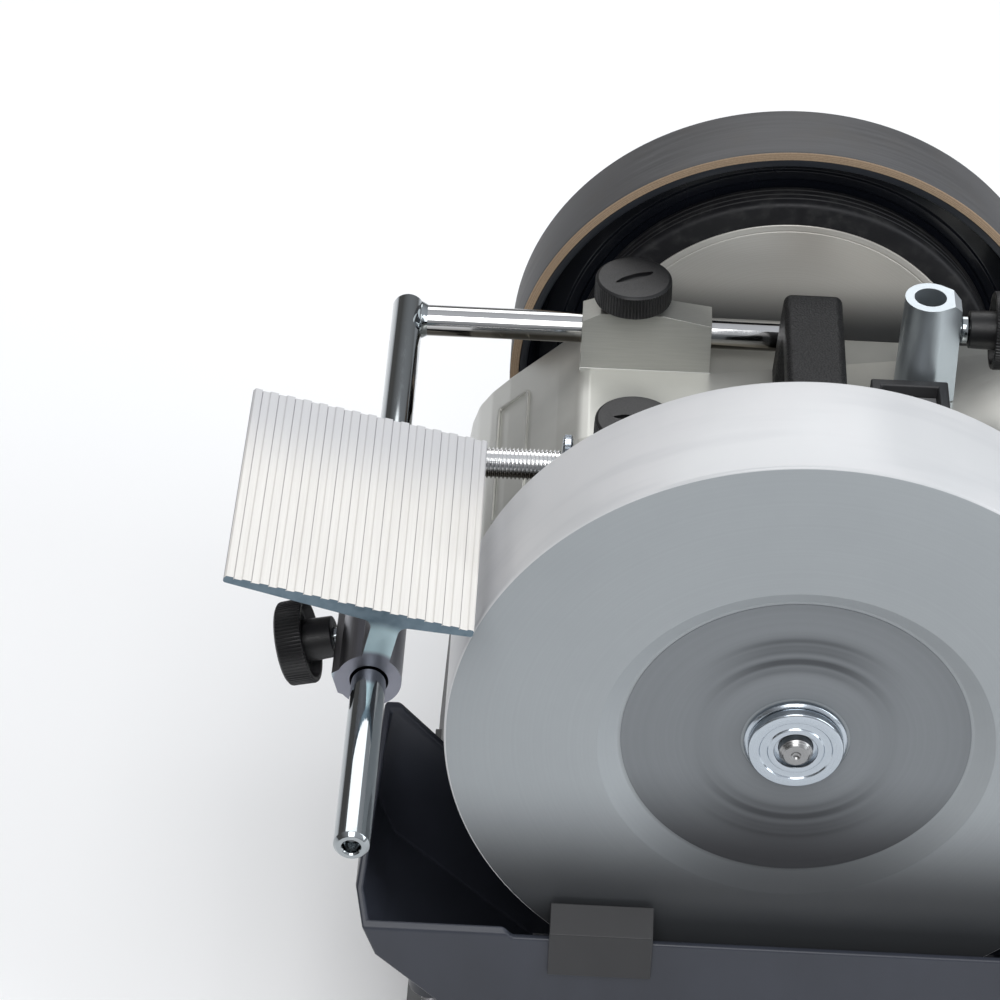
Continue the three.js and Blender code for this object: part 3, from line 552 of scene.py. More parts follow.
def drive_disc():
    """Spun aluminium face of the drive wheel: smooth, warm grey, with very fine rings and a painted dark
    reflection over its lower part.
    """
    look = Look("drive_disc", (0.76, 0.75, 0.73), 0.38, 0.35)
    rings = look.rings(2600, 3)
    cloud = look.noise(14, 2)
    toned = look.blend(look.span(rings), (0.785, 0.775, 0.75), (0.815, 0.81, 0.79))
    warmed = look.blend(look.span(cloud, 0.3, 0.8, 0, 0.5), toned, (0.77, 0.735, 0.69))
    # Painted dark reflection: the disc is darkened below these heights, in metres.
    dark, light = 0.226, 0.252
    look.tint(look.span(look.along("Z"), dark, light, 0.9, 0), warmed, (0.22, 0.23, 0.24))
    look.matt(rings, 0.32, 0.42)
    look.bump(rings, 0.006, 0.25)
    return look


def cast_metal(name="cast_metal", colour=(0.74, 0.74, 0.72), roughness=0.36, metallic=0.65):
    """Blasted zinc casting: satin, slightly cloudy."""
    look = Look(name, colour, roughness, metallic)
    cloud = look.noise(18, 4, 0.6)
    look.tint(look.span(cloud), scaled(colour, 0.93), colour)
    look.matt(cloud, roughness - 0.05, roughness + 0.06)
    look.bump(look.noise(2600, 2), 0.012, 0.35)
    return look


def drawn_aluminium(name, stretch, colour, roughness=0.3, metallic=1.0):
    """Extruded or milled aluminium with fine lines; stretch is small along the lines."""
    look = Look(name, colour, roughness, metallic)
    lines = look.noise(2200, 3, 0.55, stretch)
    look.tint(look.span(lines), colour, scaled(colour, 1.04))
    look.matt(lines, roughness - 0.02, roughness + 0.02)
    return look


def rest_table():
    """Anodised white-silver ribs of the tool rest, drawn along the ribs, with painted shade turning them
    cool grey towards the far end.
    """
    look = Look("rest_table", (0.87, 0.865, 0.85), 0.5, Specular_IOR_Level=0.25)
    lines = look.noise(1500, 4, 0.6, (1, 0.015, 1))
    worn = look.noise(90, 4, 0.6, (1, 0.2, 1))
    toned = look.blend(look.span(lines, 0.25, 0.75), (0.855, 0.843, 0.823), (0.885, 0.875, 0.855))
    rubbed = look.blend(look.span(worn, 0.5, 0.8, 0, 0.3), toned, (0.83, 0.815, 0.795))
    # Painted shade: the ribs turn cool grey towards the far end, between these y values in metres.
    near, far = -0.045, 0.0
    far_end_shade = look.span(look.along("Y"), near, far, 0, 0.75)
    look.tint(far_end_shade, rubbed, (0.72, 0.725, 0.74))
    look.matt(worn, 0.44, 0.56, 0.35, 0.7)
    return look


def rest_end():
    """Sawn end face of the extrusion: slate table edge, paler stem, and a grey ring round the bar that is
    painted shadow.
    """
    look = Look("rest_end", (0.45, 0.52, 0.57), 0.34, 1.0)
    away = look.distance((CROSS_X * MM + AXIS_X, 0, BAR_Z * MM), ACROSS_SHAFT)
    marks = look.noise(260, 3, 0.5)
    slate = look.blend(look.span(marks), (0.38, 0.44, 0.48), (0.43, 0.49, 0.53))
    stem = look.blend(look.span(away, 0.022, 0.027), (0.7, 0.78, 0.8), slate)
    # Painted shadow: the ring's end round the bar gets a darker grey-lilac.
    look.tint(look.span(away, 0.0115, 0.014), (0.5, 0.505, 0.54), stem)
    look.matt(marks, 0.3, 0.42)
    return look


def grained_plastic(name, colour, roughness, grain=1400, depth=0.05, shine=0.35):
    """Moulded plastic with a fine leathery grain."""
    look = Look(name, colour, roughness, Specular_IOR_Level=shine)
    grains = look.cells(grain)
    cloud = look.noise(35, 4)
    toned = look.blend(look.span(cloud, 0.35, 0.75, 0, 0.6), colour, scaled(colour, 1.3))
    look.tint(look.span(grains, 0.25, 0.6, 0, 0.8), toned, scaled(colour, 0.7))
    look.matt(grains, roughness - 0.08, roughness + 0.08, 0.1, 0.8)
    look.bump(grains, depth, 0.8)
    return look


def smooth_plastic(name, colour, roughness, shine=0.4):
    """Moulded plastic with a fine satin skin and faint flow marks."""
    look = Look(name, colour, roughness, Specular_IOR_Level=shine)
    cloud = look.noise(14, 4, 0.6, (1, 1, 0.4))
    look.tint(look.span(cloud, 0.3, 0.8), colour, scaled(colour, 1.25))
    look.matt(cloud, roughness - 0.04, roughness + 0.06)
    look.bump(look.noise(3000, 2), 0.008, 0.4)
    return look


def rubber():
    """Black rubber, a little dusty."""
    look = Look("rubber", (0.13, 0.13, 0.135), 0.55, Specular_IOR_Level=0.35)
    dust = look.noise(160, 5, 0.65)
    look.tint(look.span(dust, 0.45, 0.8), (0.11, 0.11, 0.12), (0.2, 0.2, 0.2))
    look.matt(dust, 0.45, 0.7)
    look.bump(look.noise(2200, 3), 0.04, 0.5)
    return look


def leather_edge():
    """Cut edge of the honing leather: tan fibres in layers."""
    look = Look("leather_edge", (0.6, 0.52, 0.43), 0.75, Specular_IOR_Level=0.2)
    layers = look.rings(3000, 4)
    fibres = look.noise(1400, 4, 0.7)
    toned = look.blend(look.span(layers), (0.56, 0.475, 0.385), (0.67, 0.59, 0.5))
    look.tint(look.span(fibres, 0.35, 0.75, 0, 0.5), toned, (0.47, 0.4, 0.33))
    look.bump(fibres, 0.12, 0.5)
    return look


def leather_tread():
    """Running face of the leather, greyed by honing paste, with streaks round the wheel."""
    look = Look("leather_tread", (0.35, 0.35, 0.355), 0.55, Specular_IOR_Level=0.3)
    streaks = look.noise(700, 5, 0.6, (0.04, 1, 0.04))
    blotches = look.noise(45, 4, 0.6)
    toned = look.blend(look.span(streaks), (0.28, 0.28, 0.285), (0.34, 0.34, 0.345))
    look.tint(look.span(blotches, 0.45, 0.8, 0, 0.4), toned, (0.31, 0.295, 0.28))
    look.matt(streaks, 0.46, 0.62)
    look.bump(look.cells(1500), 0.04, 0.3)
    look.bump(streaks, 0.04, 0.25)
    return look


def painted(name, colour):
    """Powder coat with a light orange-peel."""
    look = Look(name, colour, 0.45, Coat_Weight=0.2)
    peel = look.noise(900, 2)
    cloud = look.noise(30, 4)
    look.tint(look.span(cloud, 0.3, 0.8), colour, scaled(colour, 1.25))
    look.bump(peel, 0.05, 0.35)
    return look


def bronze():
    """Sintered bearing bronze with fine pores."""
    look = Look("bronze", (0.72, 0.58, 0.36), 0.4, 1.0)
    pores = look.noise(2400, 4, 0.7)
    look.tint(look.span(pores, 0.35, 0.7), (0.55, 0.42, 0.24), (0.78, 0.64, 0.42))
    look.bump(pores, 0.03, 0.5)
    return look


STONE_FACE = stone_face()
STONE_RIM = stone_rim()
STONE_LABEL = stone_label()
CHROME = chrome()
LEVEL_CHROME = chrome("level_chrome", BAR_Z * MM)
THREAD_CHROME = chrome("thread_chrome", BAR_Z * MM, 0.92, 0.2)
DRIVE_DISC = drive_disc()
CAST = cast_metal(colour=(0.77, 0.77, 0.75))
POST_METAL = cast_metal("post_metal", (0.74, 0.77, 0.79), 0.36, 0.85)
NUT_METAL = turned_steel("nut_metal", (0.72, 0.75, 0.78), 0.2)
SHAFT_METAL = turned_steel("shaft_metal", (0.6, 0.6, 0.6), 0.26)
STEEL = drawn_aluminium("plain_steel", (1, 0.05, 1), (0.62, 0.62, 0.63), 0.34)
MILLED = drawn_aluminium("milled_block", (0.03, 1, 1), (0.67, 0.67, 0.65), 0.3, 0.65)
ALUMINIUM = drawn_aluminium("die_aluminium", (1, 0.3, 1), (0.7, 0.7, 0.7), 0.42)
REST_TABLE = rest_table()
REST_BODY = drawn_aluminium("rest_body", (1, 0.02, 1), (0.56, 0.56, 0.58), 0.32)
REST_END = rest_end()
HANDLE_PLASTIC = grained_plastic("handle_plastic", (0.068, 0.07, 0.077), 0.46, 1150, 0.26, 0.3)
KNOB_PLASTIC = grained_plastic("knob_plastic", (0.07, 0.07, 0.077), 0.42, 2600, 0.015, 0.42)
HOLDER_PLASTIC = smooth_plastic("holder_plastic", (0.16, 0.16, 0.165), 0.42)
TROUGH_PLASTIC = smooth_plastic("trough_plastic", (0.175, 0.185, 0.215), 0.34)
SHELL_PLASTIC = grained_plastic("shell_plastic", (0.1, 0.1, 0.105), 0.5, 1200, 0.04)
HUB_PLASTIC = smooth_plastic("hub_plastic", (0.075, 0.085, 0.11), 0.22, 0.6)
HUB_RIM = smooth_plastic("hub_rim", (0.12, 0.13, 0.15), 0.4)
RUBBER = rubber()
LEATHER_EDGE = leather_edge()
LEATHER_TREAD = leather_tread()
DARK_PAINT = painted("dark_paint", (0.2, 0.21, 0.22))
GREY_PAD = smooth_plastic("grey_pad", (0.42, 0.42, 0.425), 0.4)
CAN = cast_metal("capacitor_can", (0.6, 0.61, 0.62), 0.32)
BRONZE = bronze()

# ---------- stone, shaft and wheels ----------

STONE_R = 125
STONE_WIDTH = 50
RECESS_R = 70.5
SEAT_R = 63.4
RECESS = 5
LABEL_BORE_R = 19.4
LABEL_R = 62.2
LABEL_FACE = 4.75
SHAFT_R = 6
BORE_R = SHAFT_R + 0.3
SHAFT_FAR = 258
DRIVE_FACE = 223
DRIVE_BACK = 236
TYRE_R = 85
HUB_FACE = 238.5
HONING_NEAR = 221
HONING_FAR = 252
HONING_R = 110


def from_axis(point):
    """Distance from the shaft's axis."""
    return math.hypot(point.x, point.z - AXIS_Z)


def grindstone():
    """Stone with a recess on each side, a rim with a look of its own, and a plain disc in the recess."""
    near_to_far = [
        (BORE_R + 0.3, RECESS), (SEAT_R, RECESS, 0.8), (RECESS_R, 0, 0.8), (STONE_R, 0, 1.3),
        (STONE_R, STONE_WIDTH, 1.3), (RECESS_R, STONE_WIDTH, 0.8), (SEAT_R, STONE_WIDTH - RECESS, 0.8),
        (BORE_R + 0.3, STONE_WIDTH - RECESS),
    ]
    stone = shade(coat(lathe("grindstone_body", near_to_far, SPINDLE, 288), STONE_FACE), 25)

    def on_rim(centre, normal):
        return from_axis(centre) > STONE_R - 0.7

    paint(stone, STONE_RIM, on_rim)
    piece(stone, "grindstone")
    back = RECESS - 0.02
    disc = [(LABEL_BORE_R, back), (LABEL_R, back), (LABEL_R, LABEL_FACE, 0.1), (LABEL_BORE_R, LABEL_FACE)]
    label = lathe("stone_disc", disc, SPINDLE, 192)
    piece(coat(shade(label), STONE_LABEL), body="spindle", slot="grey_pad")


def clamp_hardware():
    """Washer, dished nut and chamfered shaft end that hold the stone."""
    washer = [(BORE_R, 2.4), (17.6, 2.4, 0.3), (18.5, 3.2, 0.5), (18.5, 4.7), (BORE_R, 4.7)]
    turned("washer_ring", washer, NUT_METAL, "stone_washer", angle=25)
    nut = [
        (BORE_R, 1), (7.75, 1), (7.75, -1.2, 0.4), (9.8, -1.2, 0.2), (10.3, -0.6, 0.2),
        (12.7, -0.6, 0.2), (13.2, -1.2, 0.2), (17, -1.2, 0.9), (17, 2.1), (BORE_R, 2.1),
    ]
    turned("nut_ring", nut, NUT_METAL, "stone_nut", angle=25)
    shaft = [
        (0, -1.9), (1.3, -2.9, 0.2), (1.9, -3.5, 0.1), (4.3, -3.5, 0.3), (SHAFT_R, -1.8, 0.3),
        (SHAFT_R, SHAFT_FAR - 1.6), (4.4, SHAFT_FAR, 0.3), (0, SHAFT_FAR),
    ]
    turned("shaft_bar", shaft, SHAFT_METAL, "main_shaft", 64, 25)


def drive_wheel():
    """Spun disc with a rubber tyre, which the roller drives."""
    face = DRIVE_FACE
    back = DRIVE_BACK
    disc = [
        (BORE_R, 209), (15, 209, 0.6), (17, face - 2, 2), (24, face, 2), (72.1, face),
        (72.3, face + 0.3), (72.6, face + 0.3), (72.8, face), (75.4, face, 0.5), (75.4, back),
        (70, back), (69, face + 5, 2), (18, face + 5, 2), (18, back), (BORE_R, back),
    ]
    turned("drive_disc_body", disc, DRIVE_DISC, "drive_wheel", 192)

    tread = [(75.7, face), (TYRE_R, face, 2.4)]
    for groove in (face + 4, face + 7, face + 10):
        tread += [(TYRE_R, groove), (TYRE_R - 0.6, groove + 0.4), (TYRE_R, groove + 0.8)]
    tread += [(TYRE_R, back, 0.8), (75.7, back)]
    turned("tyre_ring", tread, RUBBER, "drive_tyre", 192, 40)


def honing_wheel():
    """Black hub with a stepped inner face, its leather belt and its knurled nut."""
    hub = [
        (BORE_R, 236.3), (22, 236.3), (24, HUB_FACE, 0.8), (86.6, HUB_FACE, 0.6),
        (87.4, HUB_FACE - 0.9, 0.4), (90.8, HUB_FACE - 0.9, 0.4), (91.6, HUB_FACE, 0.6),
        (99.6, HUB_FACE, 2.5), (103.4, HONING_NEAR + 0.3, 0.5), (106.2, HONING_NEAR + 0.3, 0.3),
        (106.2, 251.7), (102, 251.7, 1), (99, 244.5, 3), (28, 244.5, 2), (25, 247.5, 1),
        (BORE_R, 247.5),
    ]
    wheel = coat(shade(lathe("hub_body", hub, SPINDLE, 224), 28), HUB_PLASTIC)
    paint(wheel, HUB_RIM, lambda centre, normal: centre.y < HONING_NEAR + 0.9)
    piece(wheel, "honing_wheel")

    belt = [
        (106.5, HONING_NEAR), (HONING_R, HONING_NEAR, 0.9), (HONING_R, HONING_FAR, 0.9),
        (106.5, HONING_FAR),
    ]
    leather = coat(shade(lathe("leather_belt", belt, SPINDLE, 224), 40), LEATHER_EDGE)
    paint(leather, LEATHER_TREAD, lambda centre, normal: from_axis(centre) > HONING_R - 0.3)
    piece(leather, "honing_leather")

    nut = [
        (BORE_R, 247.8), (15, 247.8, 0.4), (15, 249.8, 0.4), (12.5, 250.8, 0.4), (11.5, 256.5, 0.8),
        (BORE_R, 256.5),
    ]
    ribs = 24

    def grip(step, radius, height):
        return 0.5 if 10 < radius < 14 and step % 4 > 1 else 0

    turned("far_nut", nut, NUT_METAL, "honing_nut", ribs * 4, 40, ripple=grip)


def inner_hardware():
    """The stone's inner flange and the two flanged bushings of the shaft."""
    flange = [
        (BORE_R, 45.3), (30, 45.3, 0.5), (30, 48.3, 0.8), (13, 49.8, 1.5), (11, 57.8, 0.5),
        (BORE_R, 57.8),
    ]
    turned("flange_ring", flange, NUT_METAL, "inner_flange", 96)
    for name, face, inward in (("bushing_near", 58.5, 1), ("bushing_far", 207.5, -1)):
        steps = [(BORE_R, 0), (17, 0, 0.3), (17, 1.2), (14.2, 1.2), (14.2, 20, 0.4), (BORE_R, 20)]
        sleeve = [(p[0], face + inward * p[1], *p[2:]) for p in steps]
        turned(name + "_sleeve", sleeve, BRONZE, name, 80)


# ---------- casing ----------

CASE_NEAR = 60
CASE_FAR = 206
CASE_TOP = 234.5
CASE_HALF = 126
SEAM = 150.3


def casting_outline(inset):
    """Section of the cast top across the shaft, drawn in by the wall's thickness for the hollow."""
    foot = SEAM - (5 if inset else 0)
    top = CASE_TOP - inset
    lean = inset * 0.4
    slope = [(-82, 1.4), (-90, 8), (-109, 25.6), (-116, 33), (-121, 40.2)]
    front = [(-123.6, 48.4), (-124.7, 56)]
    return [
        (-CASE_HALF + inset, foot), (CASE_HALF - inset, foot), (CASE_HALF - inset, top, 24 - inset),
        (-78 + lean, top, 4),
        *[(x + lean, top - drop, 12) for x, drop in slope],
        *[(x + inset, top - drop, 12) for x, drop in front],
    ]


def badge_frame():
    """Plain raised rectangle on the casting's front slope, where such machines carry a plate."""
    slope = math.atan2(17.6, 19)
    length = 74
    height = 16.2
    line = 1.1
    place = at(-107.5, 188 - length, 210.8) @ Matrix.Rotation(-slope, 4, "Y")
    outer = rounded_panel(0, length, height, 1.6)
    inner = rounded_panel(line, length, height, 1.0)
    raised = carve(
        prism("badge_outline", outer, -0.6, 0.45, "Z"),
        prism("badge_inside", inner, -2, 2, "Z"),
    )
    raised.data.transform(place)
    piece(coat(soften(raised, 0.18), CAST), body="machine", slot="zinc")


def rounded_panel(inset, length, height, radius):
    """Outline of a rectangle with rounded corners, drawn in by inset."""
    return [
        (-height / 2 + inset, inset, radius), (height / 2 - inset, inset, radius),
        (height / 2 - inset, length - inset, radius), (-height / 2 + inset, length - inset, radius),
    ]


def top_casting():
    """Hollow cast top with two shaft bosses inside and two sleeve seats on it."""
    body = prism("casting_body", casting_outline(0), CASE_NEAR, CASE_FAR, "Y", 10)
    round_edges(body, 1.4, 4, lambda a, b: max(a.z, b.z) > SEAM + 0.5)
    hollow = prism("casting_hollow", casting_outline(4), CASE_NEAR + 6, CASE_FAR - 6, "Y", 6)
    carve(body, hollow)
    bosses = [
        round_bar("boss", 20, low, high, SPINDLE)
        for low, high in ((CASE_NEAR + 1, CASE_NEAR + 20), (CASE_FAR - 20, CASE_FAR - 1))
    ]
    seats = []
    for y in (NEAR_LEG_Y, FAR_LEG_Y):
        seat = block("sleeve_seat", (-82.4, y - 12.5, CASE_TOP - 1.6), (-31.6, y + 12.5, CASE_TOP + 0.25))
        seats.append(soften(seat, 0.3, 3))
    carve(body, *bosses, *seats, operation="UNION")
    carve(body, round_bar("casting_bore", 14.5, CASE_NEAR - 2, CASE_FAR + 2, SPINDLE))
    piece(coat(shade(body, 32), CAST), "top_casting")


def housing_details():
    """Pan-head screws on the two flat sides of the lower body."""
    outward = ALONG_Y @ Matrix.Rotation(math.pi, 4, "X")
    for side, y, turn in (("near", CASE_NEAR, outward), ("far", CASE_FAR, ALONG_Y)):
        for end, x in (("front", -112), ("rear", 112)):
            for row, z in (("low", 30), ("high", 138)):
                pan_screw("_".join(("shell_screw", side, end, row)), at(x, y, z) @ turn)


def pan_screw(name, place):
    """A pan-head screw with a cross recess, its seat at the local origin."""
    head = [(0, -1.5), (2.2, -1.5), (2.2, 0), (3.9, 0), (3.9, 1.1, 0.8), (1.5, 2.0, 1.0), (0, 2.05)]
    screw = lathe(name, head, place, 40)
    bars = []
    for i in range(2):
        arm = block("arm", (-2.0, -0.4, 0.9), (2.0, 0.4, 4))
        arm.data.transform(place @ Matrix.Rotation(math.pi / 4 + i * math.pi / 2, 4, "Z"))
        bars.append(arm)
    carve(screw, *bars)
    piece(coat(shade(screw, 30), NUT_METAL), body="machine", slot="steel")


def carrying_handle():
    """Moulded arch, a little wider towards its feet, with well rounded edges."""
    low, high, centre = layout_box("handle")
    base = low.z
    outline = [
        (84, base), (102, base), (103.5, 265, 9), (161.5, 265, 9), (163, base), (181, base),
        (176.5, high.z, 4.5), (88.5, high.z, 4.5),
    ]
    half = 11
    grip = prism("handle_arch", outline, -half, half, "X", 8)
    for vertex in grip.data.vertices:
        spread = (high.z - vertex.co.z) / (high.z - base) * 2 / half
        vertex.co.x = centre.x + vertex.co.x * (1 + spread)
    piece(coat(soften(grip, 3.0, 5, 40), HANDLE_PLASTIC), "handle")


POST_X = 49
POST_KNOB_Z = 265.2


def horizontal_sleeves():
    rounded_nodes(*[("horizontal_sleeve_" + side, 0.8, 4, MILLED) for side in ("near", "far")])


def teardrop(radius, reach, z, steps=48):
    """A ring of points: a circle drawn out along X by two tangents that end in a flat face."""
    touch = math.radians(58.7)
    half = (radius - reach * math.cos(touch)) / math.sin(touch)
    turns = [touch + 2 * (math.pi - touch) * i / steps for i in range(steps + 1)]
    return [(reach, half, z), *[polar(radius, t, z) for t in turns], (reach, -half, z)]


def vertical_sleeve(side):
    """Upright tapered sleeve drawn out to a flat face for the clamp screw, chamfered at the top."""
    node = "vertical_sleeve_" + side
    low, high, centre = layout_box(node)
    base = low.z
    top = high.z
    body = loft(node + "_body", teardrop(10.5, 12.8, base), teardrop(9.6, 12.1, top))
    chamfer = [(9.1, top), (14, top - 5.2), (14, top + 2), (9.1, top + 2)]
    carve(
        body,
        prism("chamfer", chamfer, -12, 12, "Y"),
        round_bar("post_bore", 6.15, base + 2, top + 1, Matrix.Identity(4), 96),
        round_bar("post_screw_hole", 3.3, 0, 20, at(0, 0, POST_KNOB_Z) @ ALONG_X, 32),
    )
    body.data.transform(at(POST_X, centre.y, 0))
    piece(coat(soften(body, 0.32, 3, 25), POST_METAL), node)


def accessory_tray():
    rounded_nodes(("accessory_holder", 0.9, 3, HOLDER_PLASTIC), ("holder_pad", 0.25, 2, GREY_PAD))


def rubber_feet():
    """Four grooved feet under the base plate."""
    for end in ("front", "rear"):
        for side in ("near", "far"):
            node = "foot_%s_%s" % (end, side)
            high, middle = layout_box(node)[1:]
            foot = [
                (0, 1.5), (5, 1.5, 0.5), (6.5, 0, 0.5), (11.4, 0, 1.2), (13.0, 6, 0.4),
                (12.4, 6.8, 0.3), (13.2, 7.6, 0.4), (14, high.z, 0.6), (0, high.z),
            ]
            turned(node + "_pad", foot, RUBBER, node, 64, 30, at(middle.x, middle.y, 0))


def lower_body():
    rounded_nodes(
        ("housing_shell", 0.9, 3, SHELL_PLASTIC),
        ("base_plate", 0.7, 2, DARK_PAINT),
        ("switch_bezel", 0.7, 3, HOLDER_PLASTIC),
        ("power_rocker", 0.6, 3, KNOB_PLASTIC),
        ("lift_bracket", 0.5, 2, DARK_PAINT),
        ("capacitor", 0.6, 2, CAN),
    )


def cord_inlet():
    """Moulded inlet through the rear wall, with a six-sided collar."""
    middle = layout_box("cord_inlet")[2]
    gland = [
        (4, 118), (8, 118), (8, 134.4), (11, 134.4), (11, 136.6, 0.8), (8.5, 138, 0.6), (7, 142.4, 0.8),
        (4, 142.4, 0.8),
    ]
    flats = 6
    around = 96

    def hexagon(step, radius, height):
        turn = (step / around * flats) % 1 - 0.5
        flat = 1 - math.cos(math.pi / flats) / math.cos(2 * math.pi * turn / flats)
        return radius * flat * 0.8 if 134.5 < height < 137 and radius > 9 else 0

    place = at(0, middle.y, middle.z) @ ALONG_X
    turned("inlet_gland", gland, HOLDER_PLASTIC, "cord_inlet", around, 30, place, hexagon)


# ---------- motor ----------


def motor_pieces():
    """The motor and its mount; only the drive roller and its end of the shaft are outside the casing."""
    rounded_nodes(
        ("motor_cradle", 0.5, 2, STEEL),
        ("motor_bracket", 0.5, 2, STEEL),
        ("pivot_pin", 0.5, 2, STEEL),
        ("stator_case", 0.6, 2, DARK_PAINT),
        ("motor_endcap_near", 0.8, 2, ALUMINIUM),
        ("motor_endcap_far", 0.8, 2, ALUMINIUM),
        ("rotor_shaft", 0.5, 2, STEEL),
        ("cooling_fan", 0.4, 2, HOLDER_PLASTIC),
    )
    low, high, middle = layout_box("drive_roller")
    outer = (high.x - low.x) / 2
    profile = [(4.3, low.y), (outer, low.y, 0.5), (outer, high.y, 0.5), (4.3, high.y)]
    teeth = 32

    def knurl(step, radius, height):
        return 0.25 if radius > 5 and step % 3 == 0 else 0

    place = at(middle.x, 0, middle.z) @ ALONG_Y
    turned("roller_ring", profile, STEEL, "drive_roller", teeth * 3, 25, place, knurl)


# ---------- bar support ----------

BAR_R = 6
THREAD_PITCH = 1.5
THREAD_DEPTH = 0.85


def support_bars():
    """Cross bar with a drilled near end, and its two welded legs."""
    near, far = (corner.y for corner in layout_box("support_cross_bar")[:2])
    cross = [
        (0, near + 7), (2.6, near + 5.6), (2.9, near + 0.6, 0.2), (3.4, near, 0.2), (4.8, near, 0.4),
        (BAR_R, near + 1.4, 0.5), (BAR_R, far, 1.2), (0, far),
    ]
    turned("cross_bar", cross, CHROME, "support_cross_bar", 96, place=at(CROSS_X, 0, BAR_Z) @ ALONG_Y)
    start = CROSS_X + BAR_R - 1.2
    for node, y in (("support_smooth_leg", FAR_LEG_Y), ("support_threaded_leg", NEAR_LEG_Y)):
        end = layout_box(node)[1].x
        place = at(0, y, BAR_Z) @ ALONG_X
        if "smooth" in node:
            leg = lathe(node + "_bar", [(0, start), (BAR_R, start), (BAR_R, end, 1), (0, end)], place, 96)
            look = LEVEL_CHROME
        else:
            leg = threaded_bar(node + "_bar", BAR_R, THREAD_PITCH, THREAD_DEPTH, start, end, place)
            look = THREAD_CHROME
        piece(coat(shade(leg, 28), look), node)
        weld = [
            (4, start - 1), (7.4, start + 0.6, 0.5), (6.6, start + 2.2, 0.6), (6.02, start + 3.2),
            (4, start + 3.2),
        ]
        bead = lathe(node + "_weld", weld, place, 64)
        piece(coat(shade(bead, 40), CHROME), body="support", slot="chrome")


def adjust_nut():
    """Knurled disc that runs on the threaded leg."""
    profile = [
        (BAR_R + 0.3, -87.6), (8, -87.6, 0.4), (10.6, -87.4, 0.3), (11.6, -86.6, 0.3),
        (11.6, -84.4, 0.3), (10.6, -83.6, 0.3), (8, -83.4, 0.4), (BAR_R + 0.3, -83.4),
    ]
    teeth = 40

    def knurl(step, radius, height):
        return 0.45 if radius > 11 and step % 4 > 1 else 0

    place = at(0, NEAR_LEG_Y, BAR_Z) @ ALONG_X
    turned("adjust_disc", profile, NUT_METAL, "micro_adjust_nut", teeth * 4, 30, place, knurl)


# ---------- tool rest ----------

REST_TILT = math.radians(12.7)
REST_NEAR = -26.5
REST_FAR = 81
REST_TOP = 31.5
REST_LEFT = -57.1
REST_RIGHT = 29.3
REST = at(CROSS_X, 0, BAR_Z) @ Matrix.Rotation(REST_TILT, 4, "Y")
REST_SCREW = REST @ at(0, 1, 0) @ Matrix.Rotation(-math.pi / 2 - math.radians(28), 4, "Y")
RIB_PITCH = 6
RIB_FIRST = 3.2
RIBS = 14


def rib_outline():
    """Top of the table from right to left: crests, a slope down, and a narrow crease at each foot."""
    points = [(REST_RIGHT, REST_TOP - 0.5), (REST_RIGHT - 0.5, REST_TOP)]
    for i in reversed(range(RIBS)):
        crest = REST_LEFT + RIB_FIRST + i * RIB_PITCH
        points += [
            (crest + 3.2, REST_TOP, 0.2), (crest + 2.7, REST_TOP - 0.5, 0.4),
            (crest + 0.3, REST_TOP - 0.5), (crest + 0.27, REST_TOP - 0.8), (crest, REST_TOP - 0.8),
            (crest, REST_TOP, 0.12),
        ]
    points += [(REST_LEFT + 0.7, REST_TOP, 0.4), (REST_LEFT, REST_TOP - 1.2, 1.0)]
    return points


def rest_section():
    """T-shaped extrusion across the bar, in its own tilted axes."""
    tip = 28.6
    root = 25.8
    stem = 4.75
    outer = 11.15
    foot = math.sqrt(outer**2 - stem**2)
    lobe = [(-10.99, 1.93, 0.4), (-13.2, -0.4, 0.8), (-9.1, -8.2, 0.8), (-7.31, -8.42, 0.4)]
    start = math.atan2(foot, -stem)
    to_lobe = math.atan2(1.93, -10.99)
    from_lobe = math.atan2(-8.42, -7.31) + 2 * math.pi
    end = math.atan2(foot, stem) + 2 * math.pi

    def arc(first, last, steps):
        turns = [first + (last - first) * i / steps for i in range(1, steps)]
        return [polar(outer, t) for t in turns]

    points = [(REST_LEFT, tip, 1.2), (-stem, root, 3.2), (-stem, foot, 0.6)]
    points += arc(start, to_lobe, 6) + lobe + arc(from_lobe, end, 28)
    points += [(stem, foot, 0.6), (stem, root, 3.2), (REST_RIGHT, tip, 1.0)]
    return points + rib_outline()


def tool_rest():
    """One extrusion: ribbed table, stem and the split ring that slides on the bar."""
    body = prism("rest_extrusion", rest_section(), REST_NEAR, REST_FAR, "Y", 5)
    body.data.transform(REST)
    bore = round_bar("rest_bore", 6.7, REST_NEAR - 2, REST_FAR + 2, REST @ ALONG_Y)
    carve(body, bore, round_bar("rest_screw_hole", 3.4, 0, 20, REST_SCREW, 32))
    coat(soften(body, 0.22, 2, 38), REST_BODY)
    up = (REST.to_3x3() @ Vector((0, 0, 1))).normalized()
    axis_point = REST.translation
    paint(body, REST_TABLE, lambda c, n: (c - axis_point).dot(up) > REST_TOP - 1.0 and n.dot(up) > 0.2)
    paint(body, REST_END, lambda c, n: abs(n.y) > 0.9)
    piece(body, "tool_rest")


# ---------- clamp knobs and screws ----------

KNOB_R = 15
KNOB_THICK = 9.9
KNOB_RIBS = 72
BOSS_R = 7.2


